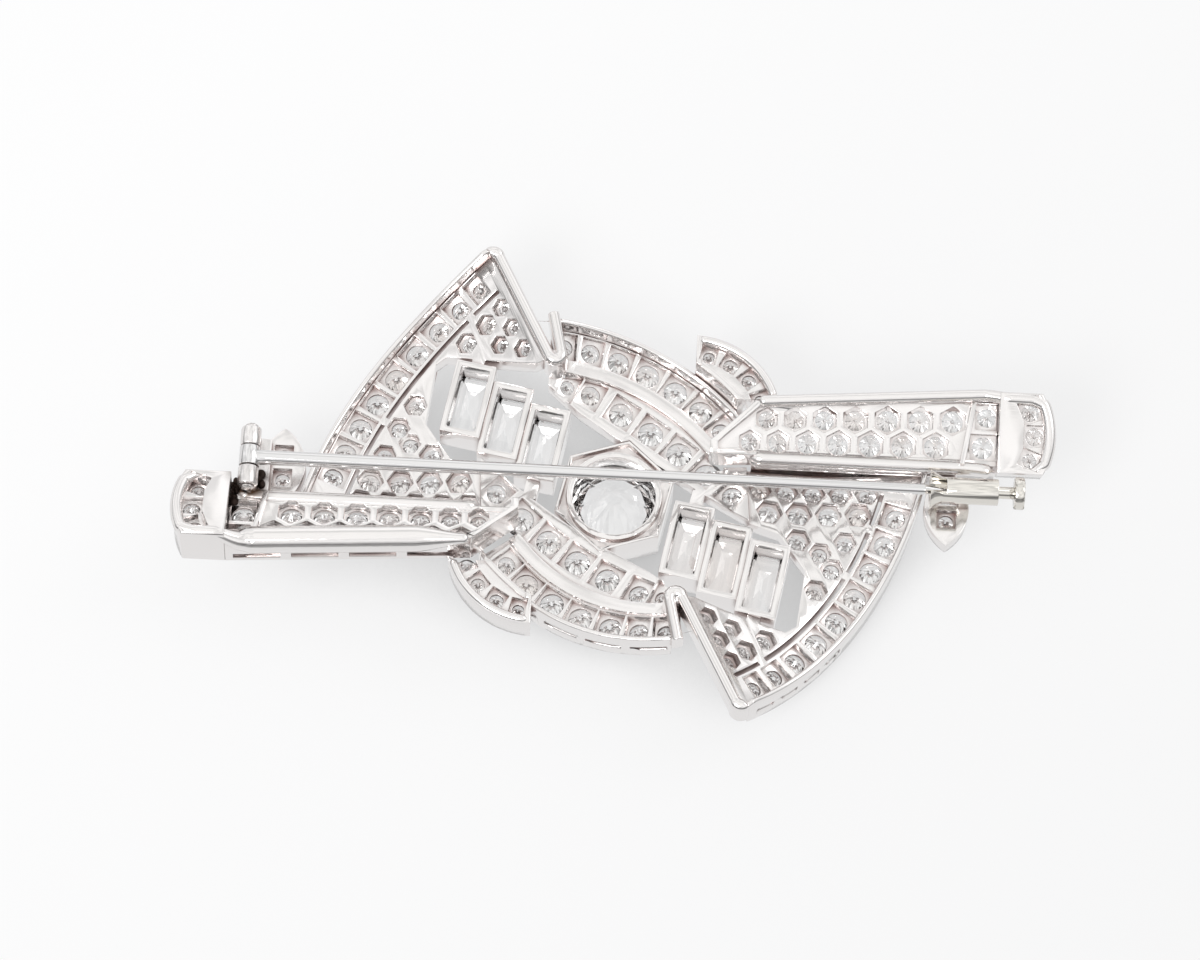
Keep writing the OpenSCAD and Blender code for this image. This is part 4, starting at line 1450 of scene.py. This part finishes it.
@dataclass
class Fastening:
    """The hinge, the pin and the sliding safety catch."""

    smith: Smithing
    bracket_edge: float = 0.16 * MM
    rivet_edge: float = 0.09 * MM
    barrel_edge: float = 0.07 * MM
    knob_edge: float = 0.14 * MM

    def build(self) -> None:
        """Builds the pin and what holds it."""
        self.smith.soften("hinge_bracket", HINGE, edge=self.bracket_edge)
        self.smith.soften("hinge_rivet", HINGE, edge=self.rivet_edge)
        self.smith.soften("pin_stem", WIRE, Body.PIN)
        self.smith.soften("catch_barrel", CATCH, edge=self.barrel_edge)
        self.smith.soften("catch_slide", CATCH, Body.SLIDER)
        self.smith.soften("catch_knob", CATCH, Body.SLIDER, edge=self.knob_edge)


# ---- Studio ----


@dataclass
class Viewpoint:
    """The camera, above and in front of the brooch."""

    elevation: float = 67.05
    swing: float = 1.05
    roll: float = -1.78
    distance: float = 344.3 * MM
    target: Triple = (0.0, 0.0, 4.1 * MM)
    pixels_per_mm: float = 13.5
    image: tuple[int, int] = (1200, 960)
    middle: Pair = (614.1, 496.58)
    sensor: float = 36.0
    clip: Pair = (10 * MM, 20.0)

    def place(self) -> None:
        """Makes the camera and gives it to the scene."""
        rise, roll, swing = (math.radians(a) for a in (self.elevation, self.roll, self.swing))
        turn = Matrix.Rotation(swing, 3, "Z")
        back = turn @ Vector((0.0, -math.cos(rise), math.sin(rise)))
        across = turn @ Vector((1.0, 0.0, 0.0))
        above = turn @ Vector((0.0, math.sin(rise), math.cos(rise)))
        right = math.cos(roll) * across - math.sin(roll) * above
        up = math.sin(roll) * across + math.cos(roll) * above
        spot = Matrix.Translation(Vector(self.target) + self.distance * back)
        lens = bpy.data.cameras.new("viewpoint")
        width, height = self.image
        setup(
            lens,
            sensor_width=self.sensor,
            lens=self.sensor * self.pixels_per_mm * self.distance / MM / width,
            shift_x=(width / 2 - self.middle[0]) / width,
            shift_y=(self.middle[1] - height / 2) / width,
            clip_start=self.clip[0],
            clip_end=self.clip[1],
        )
        camera = linked("viewpoint", lens)
        camera.matrix_world = spot @ Matrix((right, up, back)).transposed().to_4x4()
        bpy.context.scene.camera = camera


@dataclass(frozen=True)
class Lamp:
    """A square soft lamp that faces the brooch: its place, its side and its power in watts."""

    name: str
    place: Triple
    size: float
    watts: float

    def hang(self) -> None:
        """Hangs the lamp."""
        light = bpy.data.lights.new(self.name, "AREA")
        setup(light, shape="SQUARE", size=self.size, energy=self.watts)
        way = Vector(self.place).to_track_quat("Z", "Y").to_matrix().to_4x4()
        linked(self.name, light).matrix_world = Matrix.Translation(self.place) @ way


@dataclass
class Studio:
    """A pale floor, a soft white surround and large soft lamps."""

    floor_size: float = 1.6
    floor_tint: Triple = (0.945, 0.945, 0.947)
    floor_in_stones: float = 0.85
    floor_lit: float = 0.74
    fall_reach: float = 0.07
    fall_light: Pair = (1.035, 0.985)
    shade_reach: float = 9 * MM
    shade_depth: float = 0.36
    shade_sky: Pair = (0.1, 0.6)
    surround: float = 0.72
    lean: float = 0.3
    sky_low: float = 0.34
    sky_high: Triple = (1.02, 1.02, 1.01)
    sky_stops: tuple[Pair, ...] = ((0.1, 0.16), (0.22, 0.42), (0.38, 0.95), (0.6, 1.14))
    card_scale: float = 3.6
    card_edges: Pair = (0.42, 0.58)
    card_shade: float = 0.72
    stone_shade: float = 0.34
    lamps: tuple[Lamp, ...] = (
        Lamp("key", (-0.22, -0.3, 0.42), 0.24, 1.0),
        Lamp("fill", (0.4, 0.15, 0.4), 0.3, 0.3),
    )

    def build(self) -> None:
        """Builds the floor, the surround and the lamps."""
        self.floor()
        self.world()
        for lamp in self.lamps:
            lamp.hang()
        bpy.context.scene.view_settings.view_transform = "Standard"

    def floor_shade(self, build: Tree, seen: Socket) -> Socket:
        """Makes the floor's colour: a slow painted fall of light across it, and a soft painted
        shade round the brooch.

        Args:
            build: The floor's node tree.
            seen: 1 where the camera sees the floor itself.

        Returns:
            The colour.
        """
        split = build.add("ShaderNodeSeparateXYZ", {0: build.place()}).outputs
        # Painted fall of light: the floor is a little lighter towards -X and +Y, darker towards +X
        # and -Y.
        across = build.math("SUBTRACT", split["X"], split["Y"])
        fall = build.remap(across, -self.fall_reach, self.fall_reach, *self.fall_light)
        # Painted shade: the camera sees the floor darker where the brooch hides its sky.
        reach = {"Distance": self.shade_reach}
        sky = build.add("ShaderNodeAmbientOcclusion", reach, samples=12, only_local=False)
        shade = build.remap(sky.outputs["AO"], *self.shade_sky, self.shade_depth, 0.0)
        lightness = build.times(build.math("SUBTRACT", 1.0, build.times(shade, seen)), fall)
        return build.mix(lightness, (0.0, 0.0, 0.0), self.floor_tint, clamp=False)

    def floor(self) -> None:
        """Lays the floor that the brooch lies on."""
        mesh = bpy.data.meshes.new("floor")
        side = self.floor_size / 2
        corners = [(-side, -side, 0.0), (side, -side, 0.0), (side, side, 0.0), (-side, side, 0.0)]
        mesh.from_pydata(corners, [], [(0, 1, 2, 3)])
        material = bpy.data.materials.new("floor")
        build = cleared(material)
        path = build.add("ShaderNodeLightPath").outputs
        seen = path["Is Camera Ray"]
        reflected = build.math("MAXIMUM", path["Is Glossy Ray"], path["Is Transmission Ray"])
        lit = build.math("MAXIMUM", build.times(seen, self.floor_lit), reflected)
        tint = self.floor_shade(build, seen)
        matt = build.out("ShaderNodeBsdfDiffuse", {"Color": tint, "Roughness": 1.0})
        glow = build.remap(seen, first=self.floor_in_stones)
        white = build.out("ShaderNodeEmission", {"Color": tint, "Strength": glow})
        shader = build.out("ShaderNodeMixShader", {0: lit, 1: matt, 2: white})
        build.add("ShaderNodeOutputMaterial", {"Surface": shader})
        mesh.materials.append(material)
        linked("floor", mesh)

    def world(self) -> None:
        """Makes the surround: white to the camera, and a soft studio to the metal and stones."""
        world = bpy.data.worlds.new("surround")
        bpy.context.scene.world = world
        build = cleared(world)
        way = build.add("ShaderNodeTexCoord").outputs["Generated"]
        split = build.add("ShaderNodeSeparateXYZ", {0: way}).outputs
        leant = build.math("ADD", split["Z"], build.times(split["Y"], self.lean))
        ramp = build.add("ShaderNodeValToRGB", {"Fac": leant})
        stops = ramp.color_ramp.elements
        stops[0].color = (*(self.sky_low,) * 3, 1.0)
        stops[1].color = (*self.sky_high, 1.0)
        for position, shade in self.sky_stops:
            stops.new(position).color = (shade, shade, shade, 1.0)
        path = build.add("ShaderNodeLightPath").outputs
        shade_of_cards = build.remap(
            path["Is Transmission Ray"], first=self.card_shade, last=self.stone_shade
        )
        cards = build.noise(way, self.card_scale, 1.0)
        share = build.remap(cards, *self.card_edges, shade_of_cards, 1.0)
        studio = build.mix(share, (0.0, 0.0, 0.0), ramp.outputs[0])
        diffuse = build.mix(path["Is Diffuse Ray"], studio, (self.surround,) * 3)
        seen = build.mix(path["Is Camera Ray"], diffuse, (1.0, 1.0, 1.0))
        shader = build.out("ShaderNodeBackground", {"Color": seen, "Strength": 1.0})
        build.add("ShaderNodeOutputWorld", {"Surface": shader})


def main() -> None:
    """Builds the camera, the studio and every sub-assembly in order."""
    logging.basicConfig(level=logging.INFO, format="%(name)s %(message)s")
    Viewpoint().place()
    Studio().build()
    smith = Smithing()
    stones = StoneWork()
    for part in (
        Centre(smith, stones),
        Wings(smith, stones),
        Ribbons(smith, stones),
        Arms(smith, stones),
        Fastening(smith),
    ):
        part.build()
        log.info("%s built", type(part).__name__)
    stones.finish()


if __name__ == "__main__":
    main()
